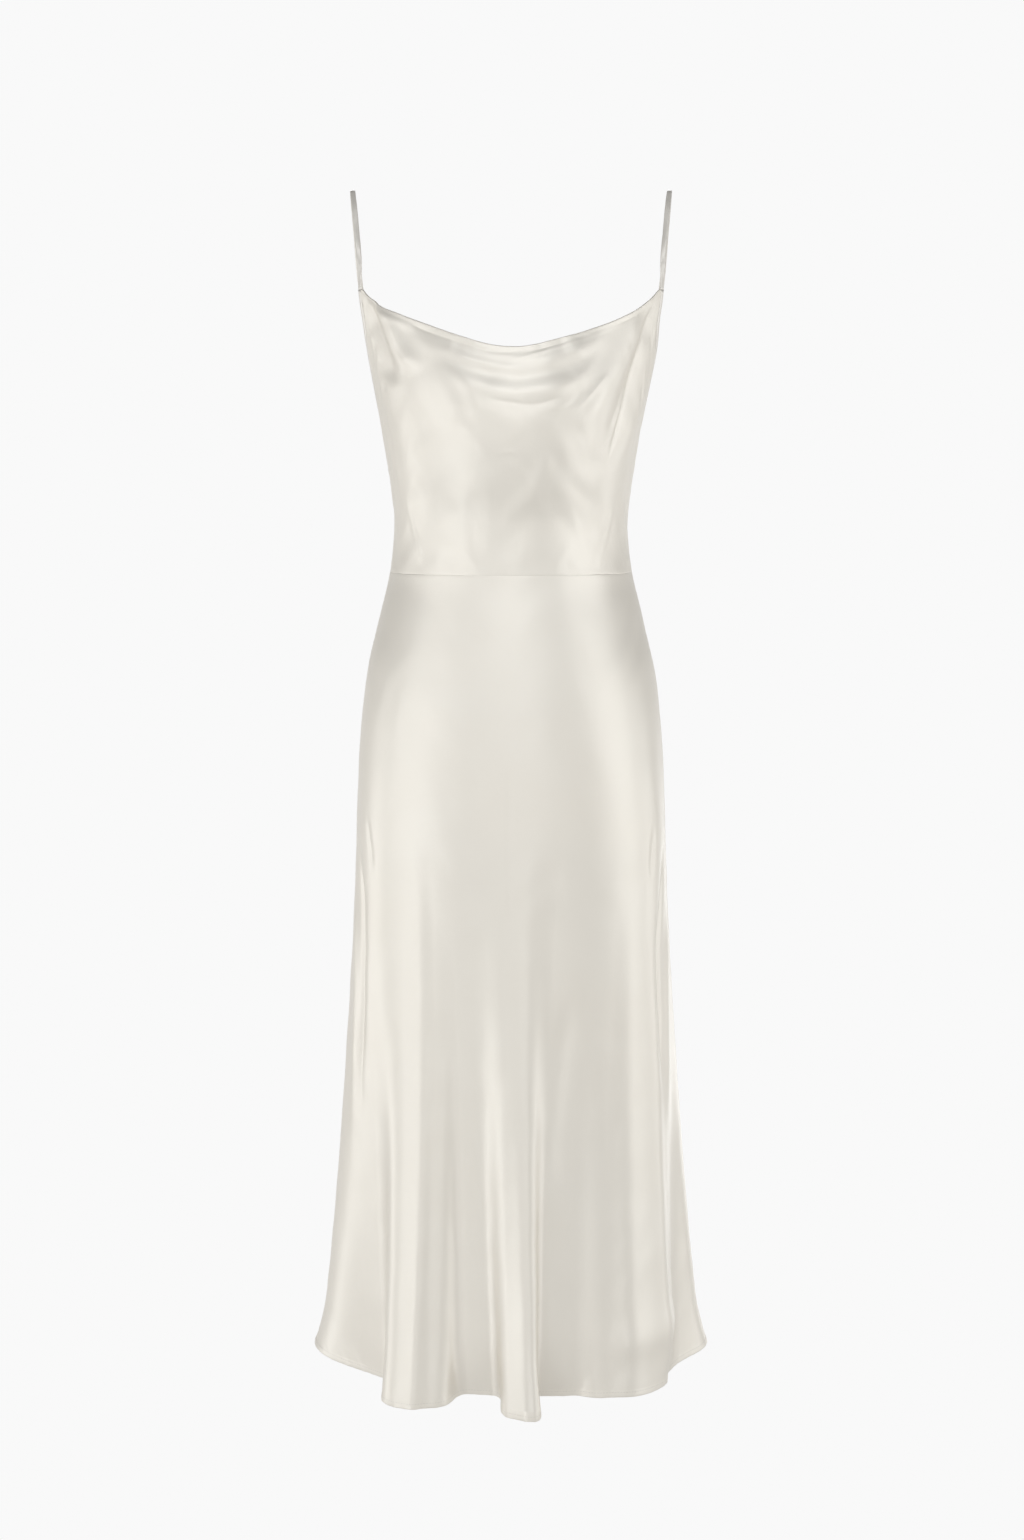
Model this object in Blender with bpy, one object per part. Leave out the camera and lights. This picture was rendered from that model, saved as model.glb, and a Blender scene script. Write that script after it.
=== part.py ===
"""A bias-cut satin slip dress with a cowl neck, in the form that it has when worn.

Metres, +Z up. The dress faces -Y. Its origin is midway between the undersides of the two straps where
they cross the shoulders, so the whole dress hangs below z = 0. Left and right are the wearer's, so the
left strap is at +X. A place on the cloth is given by its drop below the origin and by its angle round
the body: 0 degrees at centre front, 90 at the left side seam, 180 at centre back, 270 (or -90) at the
right side seam.
"""

import math
from collections import namedtuple

import bpy
import numpy as np

# ---------------------------------------------------------------- driving dimensions

CLOTH_WALL = 0.002
SEAM_GAP = 0.0003
WAIST_DROP = 0.396
HEM_DROP = 1.259
STRAP_WIDTH = 0.0055
STRAP_THICK = 0.0018
BINDING_WIDTH = 0.005
BINDING_WALL = 0.0025
FRONT_STRAP_GAP = 0.0004  # between the middle of a strap's end and the edge that it is sewn to
BACK_STRAP_GAP = 0.0022  # more, because the strap leans and the edge slopes

LEFT_SEAM = 90.0
RIGHT_SEAM = -90.0
CENTRE_BACK = 180.0
FRONT_CORNER = 73.0  # where the neckline ends and the armhole starts
BACK_CORNER = 118.0  # where the armhole meets the back neckline
CORNER_DROP = 0.1035

# Horizontal sections of the body of the dress: half its breadth, how far it reaches in front of and
# behind the side seams, and how square it is (2 is an ellipse, more is squarer).
Girth = namedtuple("Girth", "drop half_breadth front back square")
GIRTHS = (
    Girth(0.095, 0.1715, 0.098, 0.084, 2.30),
    Girth(0.135, 0.1625, 0.104, 0.088, 2.30),
    Girth(0.170, 0.1530, 0.113, 0.091, 2.30),
    Girth(0.203, 0.1450, 0.121, 0.093, 2.25),
    Girth(0.236, 0.1385, 0.123, 0.093, 2.20),
    Girth(0.290, 0.1300, 0.115, 0.088, 2.15),
    Girth(0.342, 0.1240, 0.104, 0.080, 2.05),
    Girth(0.396, 0.1290, 0.101, 0.081, 2.03),
    Girth(0.450, 0.1420, 0.107, 0.096, 2.06),
    Girth(0.500, 0.1535, 0.112, 0.112, 2.17),
    Girth(0.570, 0.1617, 0.115, 0.125, 2.40),
    Girth(0.650, 0.1656, 0.116, 0.127, 2.70),
    Girth(0.760, 0.1695, 0.115, 0.123, 2.75),
    Girth(0.900, 0.1765, 0.119, 0.127, 2.60),
    Girth(1.050, 0.1845, 0.128, 0.137, 2.45),
    Girth(1.180, 0.1935, 0.141, 0.149, 2.30),
    Girth(1.262, 0.2010, 0.150, 0.157, 2.20),
)

# The finished upper edge of the cloth, in three stretches: across the front from the right corner to
# the left one, down the left armhole and up to the left back corner, and across the back.
Edge = namedtuple("Edge", "angle drop")
NECKLINE = (
    Edge(-FRONT_CORNER, CORNER_DROP),
    Edge(-71.7, 0.1045),
    Edge(-70.0, 0.1095),
    Edge(-66.3, 0.1170),
    Edge(-55.3, 0.1301),
    Edge(-40.8, 0.1429),
    Edge(-25.2, 0.1544),
    Edge(-9.0, 0.1630),
    Edge(6.0, 0.1643),
    Edge(24.1, 0.1564),
    Edge(39.6, 0.1470),
    Edge(54.4, 0.1341),
    Edge(65.3, 0.1190),
    Edge(69.6, 0.1100),
    Edge(71.7, 0.1045),
    Edge(FRONT_CORNER, CORNER_DROP),
)
ARMHOLE = (
    Edge(FRONT_CORNER, CORNER_DROP),
    Edge(74.0, 0.1350),
    Edge(76.5, 0.1700),
    Edge(80.5, 0.2030),
    Edge(84.7, 0.2210),
    Edge(LEFT_SEAM, 0.2330),
    Edge(98.0, 0.2450),
    Edge(108.0, 0.2540),
    Edge(BACK_CORNER, 0.2590),
)
BACK_NECKLINE = (
    Edge(BACK_CORNER, 0.2590),
    Edge(135.0, 0.2700),
    Edge(157.0, 0.2820),
    Edge(CENTRE_BACK, 0.2860),
)
METRES_PER_DEGREE = 0.0027  # of cloth round the chest

# The flares of the skirt, as the lines of their crests and hollows, in order round the body. Each line
# runs from its angle at the hip to its angle at the hem, starts to show at its drop, stands out from
# the plain section by its height at the hem, hangs below the hem line by its dip, and kicks out over
# the last stretch above the hem.
HIP_DROP = 0.650
Flare = namedtuple("Flare", "name at_hip at_hem starts height dip kick")
FLARES = (
    Flare("right_side_crest", -90.0, -90.0, 0.70, 0.0120, -0.009, 0.000),
    Flare("right_side_hollow", -66.0, -57.0, 0.80, -0.0230, 0.000, 0.000),
    Flare("right_flare_edge", -51.0, -37.6, 0.66, 0.0290, 0.004, 0.003),
    Flare("right_flare_crest", -45.0, -34.0, 0.66, 0.0290, 0.004, 0.003),
    Flare("right_flare_end", -38.0, -27.5, 0.72, 0.0190, 0.004, 0.002),
    Flare("right_front_hollow", -30.0, -17.5, 0.76, 0.0000, -0.002, -0.009),
    Flare("right_front_hollow_end", -24.0, -8.0, 0.74, 0.0000, -0.002, -0.008),
    Flare("front_fold_right", -6.0, 0.2, 0.58, 0.0165, 0.0095, 0.009),
    Flare("front_fold_left", 6.5, 7.5, 0.58, 0.0230, 0.0095, 0.012),
    Flare("left_front_hollow", 24.0, 11.5, 0.70, 0.0030, -0.001, -0.0105),
    Flare("left_front_hollow_end", 38.0, 24.0, 0.78, -0.0020, 0.000, -0.005),
    Flare("left_flare_start", 49.0, 35.0, 0.76, 0.0060, 0.001, 0.000),
    Flare("left_flare_edge", 58.0, 46.5, 0.68, 0.0175, 0.001, -0.001),
    Flare("left_flare_turn", 66.0, 56.5, 0.70, 0.0160, 0.001, -0.006),
    Flare("left_flare_end", 72.0, 66.5, 0.80, -0.0010, -0.001, -0.008),
    Flare("left_side_hollow", 78.0, 72.5, 0.80, -0.0110, -0.003, 0.000),
    Flare("left_side_crest", 90.0, 90.0, 0.70, 0.0120, -0.009, 0.000),
    Flare("left_rear_hollow", 112.0, 113.0, 0.80, -0.0170, 0.000, 0.000),
    Flare("left_rear_flare_start", 124.0, 126.0, 0.72, 0.0260, 0.002, 0.000),
    Flare("left_rear_flare_end", 138.0, 141.0, 0.72, 0.0200, 0.001, 0.000),
    Flare("left_back_hollow", 152.0, 157.0, 0.78, -0.0170, 0.000, 0.000),
    Flare("back_fold_left", 168.0, 169.0, 0.78, 0.0300, 0.004, 0.000),
    Flare("back_fold_right", 182.0, 182.0, 0.78, 0.0270, 0.004, 0.000),
    Flare("right_back_hollow", 199.0, 193.0, 0.78, -0.0160, 0.000, 0.000),
    Flare("right_rear_flare_start", 214.0, 209.0, 0.74, 0.0180, 0.000, 0.000),
    Flare("right_rear_flare_end", 230.0, 231.0, 0.72, 0.0290, 0.002, 0.000),
    Flare("right_rear_hollow", 246.0, 246.0, 0.80, -0.0150, 0.000, 0.000),
    Flare("right_side_crest_again", 270.0, 270.0, 0.70, 0.0120, -0.009, 0.000),
)
FLARE_GROWTH = 1.50  # above 1, a flare opens slowly at first and faster near the hem
HEM_CROWDING = 0.8  # 0 spaces a skirt's rows evenly, and nearer to 1 they close up towards the hem
HEM_SAMPLES = 2000
PINCH = 0.11  # how far a flare's flanks fold in under its crest, as a share of its rise

# The side seams kick out over the last stretch above the hem.
KICK_START = 1.190
KICK_OUT = 0.0085
KICK_SPREAD = 16.0  # degrees

# Drape folds of the front bodice. Each runs as a bow between two points, given by their place across
# (x) and their drop. A height above zero is a ridge, and below zero a trough.
Fold = namedtuple("Fold", "name x0 drop0 x1 drop1 bow height width")
FOLDS = (
    Fold("cowl_roll", -0.112, 0.146, 0.112, 0.146, 0.034, 0.0026, 0.0100),
    Fold("cowl_hollow", -0.088, 0.158, 0.100, 0.160, 0.036, -0.0028, 0.0090),
    Fold("second_roll", -0.085, 0.172, 0.098, 0.176, 0.038, 0.0020, 0.0110),
    Fold("second_hollow", -0.050, 0.205, 0.090, 0.196, 0.020, -0.0018, 0.0080),
    Fold("third_roll", -0.060, 0.222, 0.070, 0.216, 0.018, 0.0012, 0.0110),
    Fold("left_strap_fold", 0.147, 0.112, 0.072, 0.270, -0.010, -0.0036, 0.0100),
    Fold("left_strap_ridge", 0.136, 0.118, 0.052, 0.245, -0.010, 0.0030, 0.0130),
    Fold("left_side_ridge", 0.149, 0.128, 0.100, 0.290, -0.004, 0.0030, 0.0090),
    Fold("right_strap_fold", -0.145, 0.112, -0.116, 0.205, 0.006, -0.0042, 0.0090),
    Fold("right_strap_ridge", -0.136, 0.116, -0.092, 0.190, 0.008, 0.0030, 0.0100),
)

FOLD_FADE = 0.25  # share of its length over which a fold dies out at each end
FLAT_AT_WAIST = 0.05  # height of the stretch above the waist seam over which the folds flatten

# The line of the left strap, from the front corner of the neckline over the shoulder to the back
# corner. Its two ends come from the cloth that it is sewn to.
StrapPoint = namedtuple("StrapPoint", "x y z")
STRAP_LINE = (
    StrapPoint(0.1567, -0.0410, -0.0780),
    StrapPoint(0.1602, -0.0270, -0.0400),
    StrapPoint(0.1638, -0.0120, -0.0100),
    StrapPoint(0.1658, 0.0000, STRAP_THICK / 2),
    StrapPoint(0.1663, 0.0170, -0.0080),
    StrapPoint(0.1650, 0.0380, -0.0400),
    StrapPoint(0.1620, 0.0560, -0.0900),
    StrapPoint(0.1520, 0.0660, -0.1500),
    StrapPoint(0.1330, 0.0690, -0.2050),
)
STRAP_STATIONS = 32
STRAP_TURN = 0.16  # share of its length over which the strap turns into the plane of the cloth
BINDING_TRIM = 0.12  # share of its first and last step by which a binding stops short of a corner

# A strap's or binding's cross-section, in shares of half its width and half its thickness.
BAND_CORNER = (0.72, 0.86)
BAND_RING = [
    (0.0, 1.0),
    BAND_CORNER,
    (1.0, 0.0),
    (BAND_CORNER[0], -BAND_CORNER[1]),
    (0.0, -1.0),
    (-BAND_CORNER[0], -BAND_CORNER[1]),
    (-1.0, 0.0),
    (-BAND_CORNER[0], BAND_CORNER[1]),
]

SATIN_COLOUR = (0.80, 0.77, 0.71, 1.0)
SATIN_ROUGHNESS = 0.34
TRIM_COLOUR = (0.78, 0.75, 0.69, 1.0)
TRIM_ROUGHNESS = 0.40
SHARP_ANGLE = math.radians(50)

# ---------------------------------------------------------------- curves and the cloth's surface


def smooth(at, table, across, value):
    """The column `value` of a table at places given along its column `across`, on a smooth curve."""
    places = np.array([getattr(row, across) for row in table])
    return curve(at, places, np.array([getattr(row, value) for row in table]))


def curve(at, places, values):
    """The smooth curve that has these values at these places, read at other places."""
    slopes = np.gradient(values, places)
    at = np.clip(at, places[0], places[-1])
    left = np.clip(np.searchsorted(places, at, side="right") - 1, 0, len(places) - 2)
    span = places[left + 1] - places[left]
    t = (at - places[left]) / span
    start = (1 + 2 * t) * (1 - t) ** 2 * values[left] + t * (1 - t) ** 2 * span * slopes[left]
    end = t**2 * (3 - 2 * t) * values[left + 1] - t**2 * (1 - t) * span * slopes[left + 1]
    return start + end


def ease(share):
    """0 below 0, 1 above 1, and a smooth rise between them."""
    share = np.clip(share, 0, 1)
    return share * share * (3 - 2 * share)


def plain_radius(angle, drop):
    """Distance from the body's axis to the cloth before any fold: a superellipse at each level."""
    half_breadth, front, back, square = (
        smooth(drop, GIRTHS, "drop", column) for column in ("half_breadth", "front", "back", "square")
    )
    turn = np.radians(angle)
    depth = np.where(np.cos(turn) > 0, front, back)
    across, along = np.abs(np.sin(turn)) / half_breadth, np.abs(np.cos(turn)) / depth
    return (across**square + along**square) ** (-1 / square)


def flare_angle(flare, drop):
    """Where a flare's line is at this drop."""
    share = np.minimum((drop - HIP_DROP) / (HEM_DROP - HIP_DROP), 1)
    return flare.at_hip + (flare.at_hem - flare.at_hip) * share


def kick_share(drop):
    """How far the cloth has kicked out at this drop, from 0 at the start of the last stretch to 1."""
    return np.clip((drop - KICK_START) / (HEM_DROP - KICK_START), 0, 1) ** 2


def flare_height(flare, drop):
    """How far a flare's line stands out at this drop."""
    share = np.maximum((drop - flare.starts) / (HEM_DROP - flare.starts), 0)
    return flare.height * share**FLARE_GROWTH + flare.kick * kick_share(drop)


def flares(angle, drop):
    """(outward, sideways) shift of the cloth by the skirt's flares.

    Round the body the outward shift is a cubic Hermite curve through the lines' heights. Its slope is
    zero at a crest or hollow and the harmonic mean of the slopes on both sides at any other line, so it
    never swings past them. The sideways shift folds each flank in under its crest.
    """
    angle = (angle - RIGHT_SEAM) % 360 + RIGHT_SEAM
    lines = np.array([flare_angle(flare, drop) for flare in FLARES])
    heights = np.array([flare_height(flare, drop) for flare in FLARES])
    gaps, rises = np.diff(lines, axis=0), np.diff(heights, axis=0)
    before, after = rises[:-1] / gaps[:-1], rises[1:] / gaps[1:]
    slopes = np.zeros(heights.shape)
    monotone = before * after > 0
    slopes[1:-1][monotone] = (2 * before * after)[monotone] / (before + after)[monotone]
    outward, sideways = np.zeros(angle.shape), np.zeros(angle.shape)
    for k, gap in enumerate(gaps):
        t = (angle - lines[k]) / gap
        between = (t >= 0) & (t < 1)
        bend = t * (1 - t) * gap * ((1 - t) * slopes[k] - t * slopes[k + 1])
        outward += between * (heights[k] + rises[k] * ease(t) + bend)
        sideways += between * PINCH * np.abs(rises[k]) * np.sin(2 * math.pi * t)
    return outward, sideways


def hem_dip(angle):
    """How far the hem hangs below the hem line, between the flares' own dips."""
    angle = (angle - RIGHT_SEAM) % 360 + RIGHT_SEAM
    lines = np.array([flare.at_hem for flare in FLARES])
    dips = np.array([flare.dip for flare in FLARES])
    left = np.clip(np.searchsorted(lines, angle, side="right") - 1, 0, len(lines) - 2)
    share = ease((angle - lines[left]) / (lines[left + 1] - lines[left]))
    return dips[left] + (dips[left + 1] - dips[left]) * share


def side_kick(angle, drop):
    """Outward kick of the hem at both side seams."""
    from_seam = np.abs(np.abs((angle + 180) % 360 - 180) - LEFT_SEAM)
    return KICK_OUT * kick_share(drop) * np.exp(-((from_seam / KICK_SPREAD) ** 2))


def bodice_folds(angle, drop):
    """Outward shift of the front bodice by its drape folds: rounded ridges and troughs along bows."""
    x = plain_radius(angle, drop) * np.sin(np.radians(angle))
    faces_front = np.cos(np.radians(angle)) > 0
    shift = np.zeros(np.shape(x + drop))
    for fold in FOLDS:
        run = np.array([fold.x1 - fold.x0, fold.drop1 - fold.drop0])
        length = np.hypot(*run)
        along = ((x - fold.x0) * run[0] + (drop - fold.drop0) * run[1]) / length**2
        off = ((drop - fold.drop0) * run[0] - (x - fold.x0) * run[1]) / length
        off = off - fold.bow * 4 * along * (1 - along)
        fade = ease(along / FOLD_FADE) * ease((1 - along) / FOLD_FADE)
        shift += fold.height * np.exp(-((off / fold.width) ** 2)) * fade * faces_front
    return shift * ease((WAIST_DROP - drop) / FLAT_AT_WAIST)


def cloth(angle, drop):
    """Points on the outer face of the cloth, as an array whose last axis is x, y, z."""
    angle, drop = np.broadcast_arrays(np.asarray(angle, float), np.asarray(drop, float))
    outward, sideways = flares(angle, drop)
    radius = plain_radius(angle, drop) + outward + side_kick(angle, drop) + bodice_folds(angle, drop)
    turn = np.radians(angle)
    x = radius * np.sin(turn) + sideways * np.cos(turn)
    y = -radius * np.cos(turn) + sideways * np.sin(turn)
    return np.stack([x, y, -drop], axis=-1)


def unit(vectors):
    """The vectors at a length of 1."""
    return vectors / np.linalg.norm(vectors, axis=-1, keepdims=True)


def cloth_normal(angle, drop):
    """Outward directions of the cloth, from its slopes round the body and down it."""
    turn_step, drop_step = 0.05, 0.0002
    around = cloth(angle + turn_step, drop) - cloth(angle - turn_step, drop)
    down = cloth(angle, drop + drop_step) - cloth(angle, drop - drop_step)
    return unit(np.cross(down, around))


# ---------------------------------------------------------------- meshes


def satin(name, colour, roughness):
    material = bpy.data.materials.new(name)
    material.use_nodes = True
    shader = material.node_tree.nodes["Principled BSDF"]
    shader.inputs["Base Color"].default_value = colour
    shader.inputs["Roughness"].default_value = roughness
    shader.inputs["Metallic"].default_value = 0.0
    material.diffuse_color = colour
    return material


def add_object(name, points, faces, material):
    mesh = bpy.data.meshes.new(name)
    mesh.from_pydata([tuple(point) for point in points], [], faces)
    mesh.materials.append(material)
    mesh.shade_smooth()
    mesh.set_sharp_from_angle(angle=SHARP_ANGLE)
    built = bpy.data.objects.new(name, mesh)
    bpy.context.scene.collection.objects.link(built)
    return built


def wall(name, outer, inner, material):
    """A closed wall between two grids of points, rows down and columns round, faces pointing out."""
    rows, columns = outer.shape[:2]
    points = np.concatenate([outer.reshape(-1, 3), inner.reshape(-1, 3)])
    skin = rows * columns

    def corner(row, column, inside=0):
        return row * columns + column + inside * skin

    faces = []
    for row in range(rows - 1):
        for column in range(columns - 1):
            square = ((row, column), (row + 1, column), (row + 1, column + 1), (row, column + 1))
            faces.append([corner(*place) for place in square])
            faces.append([corner(*place, 1) for place in reversed(square)])
    rim = [(0, column) for column in range(columns - 1)]
    rim += [(row, columns - 1) for row in range(rows - 1)]
    rim += [(rows - 1, column) for column in range(columns - 1, 0, -1)]
    rim += [(row, 0) for row in range(rows - 1, 0, -1)]
    for place, following in zip(rim, rim[1:] + rim[:1]):
        faces.append([corner(*place), corner(*following), corner(*following, 1), corner(*place, 1)])
    return add_object(name, points, faces, material)


def band(name, centres, sides, outs, half_width, half_thick, material):
    """A flat band with rounded edges along a line of centres: a flattened ring at each station."""
    points = [
        centre + side * (across * half_width) + out * (up * half_thick)
        for centre, side, out in zip(centres, sides, outs)
        for across, up in BAND_RING
    ]
    count, last = len(BAND_RING), (len(centres) - 1) * len(BAND_RING)
    faces = [
        [start + k, start + (k + 1) % count, start + count + (k + 1) % count, start + count + k]
        for start in range(0, last, count)
        for k in range(count)
    ]
    faces.append(list(range(count))[::-1])
    faces.append(list(range(last, last + count)))
    return add_object(name, points, faces, material)


# ---------------------------------------------------------------- the pieces


def shifted(points, y_shift):
    return points + np.array([0.0, y_shift, 0.0])


def panel(name, angles, drops, material):
    """A panel of cloth. Its sides lie flat along the side seams, half a seam gap in front of them or
    behind them.
    """
    outer = cloth(angles, drops)
    inner = outer - cloth_normal(angles, drops) * CLOTH_WALL
    inner[:, [0, -1], 1] = 0.0
    y_shift = SEAM_GAP / 2 * (-1 if np.abs(angles).max() <= LEFT_SEAM else 1)
    return wall(name, shifted(outer, y_shift), shifted(inner, y_shift), material)


def through(knots, count):
    """`count` points at equal steps along a smooth curve through the knots, in any number of dimensions."""
    knots = np.asarray(knots, float)
    places = np.concatenate([[0], np.linalg.norm(np.diff(knots, axis=0), axis=1).cumsum()])
    at = np.linspace(0, places[-1], count)
    return np.stack([curve(at, places, column) for column in knots.T], axis=-1)


def edge_path(edges, count):
    """(angles, drops) of `count` points at equal steps of cloth along a stretch of the upper edge."""
    scale = np.array([METRES_PER_DEGREE, 1.0])
    angles, drops = (through(np.array(edges) * scale, count) / scale).T
    return angles, drops


def mirrored(path):
    """The other side's stretch of the edge, from the back neckline or side seam to the front."""
    angles, drops = path
    return -angles[::-1], drops[::-1]


def rows_between(top, bottom, count, crowding=0.0):
    """Values in `count` rows from a top row to a bottom row, closer together near the bottom where
    crowding is nearer to 1.
    """
    share = np.linspace(0, 1, count)[:, None]
    if crowding:
        share = np.sin(math.pi / 2 * crowding * share) / np.sin(math.pi / 2 * crowding)
    return top + (bottom - top) * share


def bodice(name, path, waist_angles, rows, material):
    """A bodice panel from its upper edge to the waist seam."""
    angles, drops = path
    angles = rows_between(angles, np.linspace(*waist_angles, len(angles)), rows)
    drops = rows_between(drops, WAIST_DROP - SEAM_GAP / 2, rows)
    return panel(name, angles, drops, material)


def skirt(name, lines, columns, rows, material):
    """A skirt panel between its first and last flare line. Its columns stand at equal steps of cloth
    along the hem, and follow the flares' lines up to the waist.
    """
    at_hem = np.array([flare.at_hem for flare in lines])
    along_hem = np.linspace(at_hem[0], at_hem[-1], HEM_SAMPLES)
    steps = np.linalg.norm(np.diff(cloth(along_hem, HEM_DROP), axis=0), axis=1)
    length = np.concatenate([[0], steps.cumsum()])
    hem_angles = np.interp(np.linspace(0, length[-1], columns), length, along_hem)
    drops = rows_between(WAIST_DROP + SEAM_GAP / 2, HEM_DROP + hem_dip(hem_angles), rows, HEM_CROWDING)
    numbers = np.arange(len(lines))
    between_lines = np.interp(hem_angles, at_hem, numbers)
    angles = [
        np.interp(between_lines, numbers, [flare_angle(flare, level) for flare in lines])
        for level in drops.mean(axis=1)
    ]
    return panel(name, np.array(angles), drops, material)


def strap_line():
    """Centres and side directions of the left strap. Its width lies across the shoulder along most of
    its length, and turns to lie in the cloth where it is sewn on.
    """
    front = corner_top(FRONT_CORNER, CORNER_DROP, outward=SEAM_GAP + BINDING_WIDTH / 2, above=FRONT_STRAP_GAP)
    back = corner_top(BACK_CORNER, ARMHOLE[-1].drop, outward=0.0, above=BINDING_WIDTH + BACK_STRAP_GAP)
    line = through([front, *STRAP_LINE, back], STRAP_STATIONS)
    place = np.linspace(0, 1, STRAP_STATIONS)[:, None]
    in_front = around(FRONT_CORNER, CORNER_DROP) * (1 - ease(place / STRAP_TURN))
    behind = -around(BACK_CORNER, ARMHOLE[-1].drop) * (1 - ease((1 - place) / STRAP_TURN))
    across = np.array([1.0, 0.0, 0.0]) * ease(place / STRAP_TURN) * ease((1 - place) / STRAP_TURN)
    return line, unit(in_front + behind + across)


def around(angle, drop):
    """Direction in the cloth, level, towards a larger angle."""
    step = cloth(angle + 0.05, drop) - cloth(angle - 0.05, drop)
    return unit(step * (1, 1, 0))


def corner_top(angle, drop, outward, above):
    """A point in the middle of the wall, at a distance outward along the cloth and above its edge."""
    point = cloth(angle, drop) - cloth_normal(angle, drop) * CLOTH_WALL / 2
    return point + around(angle, drop) * outward + np.array([0.0, 0.0, above])


def strap(name, mirror, material):
    """A strap from the front corner over the shoulder to the back corner. mirror is 1 for the left."""
    line, sides = strap_line()
    line, sides = line * (mirror, 1, 1), sides * (mirror, 1, 1) * mirror
    tangents = unit(np.gradient(line, axis=0))
    outs = unit(np.cross(sides, tangents))
    return band(name, line, np.cross(tangents, outs), outs, STRAP_WIDTH / 2, STRAP_THICK / 2, material)


def binding(name, path, material):
    """A binding that carries the wall on beyond a stretch of the upper edge, a seam gap clear of it."""
    angles, drops = (trimmed(values) for values in path)
    edge = cloth(angles, drops)
    outs = cloth_normal(angles, drops)
    tangents = unit(np.gradient(edge, axis=0))
    sides = np.cross(tangents, outs)
    sides = unit(sides * np.sign(sides[:, 2:]))
    centres = edge - outs * CLOTH_WALL / 2 + sides * (SEAM_GAP + BINDING_WIDTH / 2)
    ring_out = unit(np.cross(sides, tangents))
    return band(name, centres, sides, ring_out, BINDING_WIDTH / 2, BINDING_WALL / 2, material)


def trimmed(values):
    """The values with both ends brought in by a share of their first and last step."""
    values = np.array(values)
    start, end = values[1] - values[0], values[-1] - values[-2]
    values[0] += start * BINDING_TRIM
    values[-1] -= end * BINDING_TRIM
    return values


def joined(*paths):
    """Stretches of the edge that follow each other, as one, with each shared corner once."""
    first = paths[0]
    rest = [(angles[1:], drops[1:]) for angles, drops in paths[1:]]
    return tuple(np.concatenate(parts) for parts in zip(first, *rest))


def build():
    for old in list(bpy.data.objects):
        bpy.data.objects.remove(old)
    panel_satin = satin("ivory_satin", SATIN_COLOUR, SATIN_ROUGHNESS)
    trim_satin = satin("ivory_satin_trim", TRIM_COLOUR, TRIM_ROUGHNESS)

    neckline = edge_path(NECKLINE, 37)
    armhole_front = edge_path(ARMHOLE[:6], 11)
    armhole_back = edge_path(ARMHOLE[5:], 9)
    half_back = edge_path(BACK_NECKLINE, 10)
    back_neckline = joined(half_back, (360 - half_back[0][::-1], half_back[1][::-1]))
    far_armhole_back = (360 - armhole_back[0][::-1], armhole_back[1][::-1])
    front_edge = joined(mirrored(armhole_front), neckline, armhole_front)
    back_edge = joined(armhole_back, back_neckline, far_armhole_back)
    bodice("front_bodice", front_edge, (RIGHT_SEAM, LEFT_SEAM), 19, panel_satin)
    bodice("back_bodice", back_edge, (LEFT_SEAM, 360 + RIGHT_SEAM), 7, panel_satin)

    seam = next(place for place, flare in enumerate(FLARES) if flare.name == "left_side_crest")
    skirt("front_skirt", FLARES[: seam + 1], 61, 22, panel_satin)
    skirt("back_skirt", FLARES[seam:], 49, 19, panel_satin)

    armhole = joined(armhole_front, armhole_back)
    binding("armhole_binding_left", armhole, trim_satin)
    binding("armhole_binding_right", mirrored(armhole), trim_satin)
    binding("back_neck_binding", back_neckline, trim_satin)
    strap("strap_left", 1, trim_satin)
    strap("strap_right", -1, trim_satin)


build()
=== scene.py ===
"""Looks of a bias-cut satin slip dress with a cowl neck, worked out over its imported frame.

Metres, +Z up. The dress faces -Y and +X is the wearer's left. A place on the cloth is given by its angle
round the body (0 at centre front, 90 at the left side seam, 180 at centre back, -90 at the right side
seam) and by its drop below the tops of the shoulders. Left and right are the wearer's.
"""

import logging
import math
from dataclasses import dataclass, field
from enum import Enum
from typing import NamedTuple, Sequence

import bpy
import numpy as np
from mathutils import Matrix


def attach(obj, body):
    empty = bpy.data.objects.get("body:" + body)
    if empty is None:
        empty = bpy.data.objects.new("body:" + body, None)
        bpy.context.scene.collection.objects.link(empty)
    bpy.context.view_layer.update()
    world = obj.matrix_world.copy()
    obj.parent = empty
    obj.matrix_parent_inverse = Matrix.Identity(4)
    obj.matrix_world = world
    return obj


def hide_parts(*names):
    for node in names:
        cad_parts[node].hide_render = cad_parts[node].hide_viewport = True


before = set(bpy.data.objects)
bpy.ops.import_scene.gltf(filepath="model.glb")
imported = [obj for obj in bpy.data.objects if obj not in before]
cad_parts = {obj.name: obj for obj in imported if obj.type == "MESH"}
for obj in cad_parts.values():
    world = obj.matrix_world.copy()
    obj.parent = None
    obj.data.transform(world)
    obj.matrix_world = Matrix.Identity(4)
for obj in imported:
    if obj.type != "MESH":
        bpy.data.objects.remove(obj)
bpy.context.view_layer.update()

BODY = "root"
Array = np.ndarray
Path = tuple[np.ndarray, np.ndarray]  # angles and drops along the cloth
Tone = tuple[float, float, float]
log = logging.getLogger("slip_dress")


# ---------------------------------------------------------------- numbers along lines


def ease(share: Array | float) -> Array:
    """0 below 0, 1 above 1, and 3s^2 - 2s^3 between them."""
    share = np.clip(share, 0, 1)
    return share * share * (3 - 2 * share)


def bell(distance: Array, width: float) -> Array:
    """1 at no distance, falling off as exp(-(distance / width)^2)."""
    return np.exp(-((distance / width) ** 2))


def unit(vectors: Array) -> Array:
    """The vectors at a length of 1."""
    return vectors / np.maximum(np.linalg.norm(vectors, axis=-1, keepdims=True), 1e-12)


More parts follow.
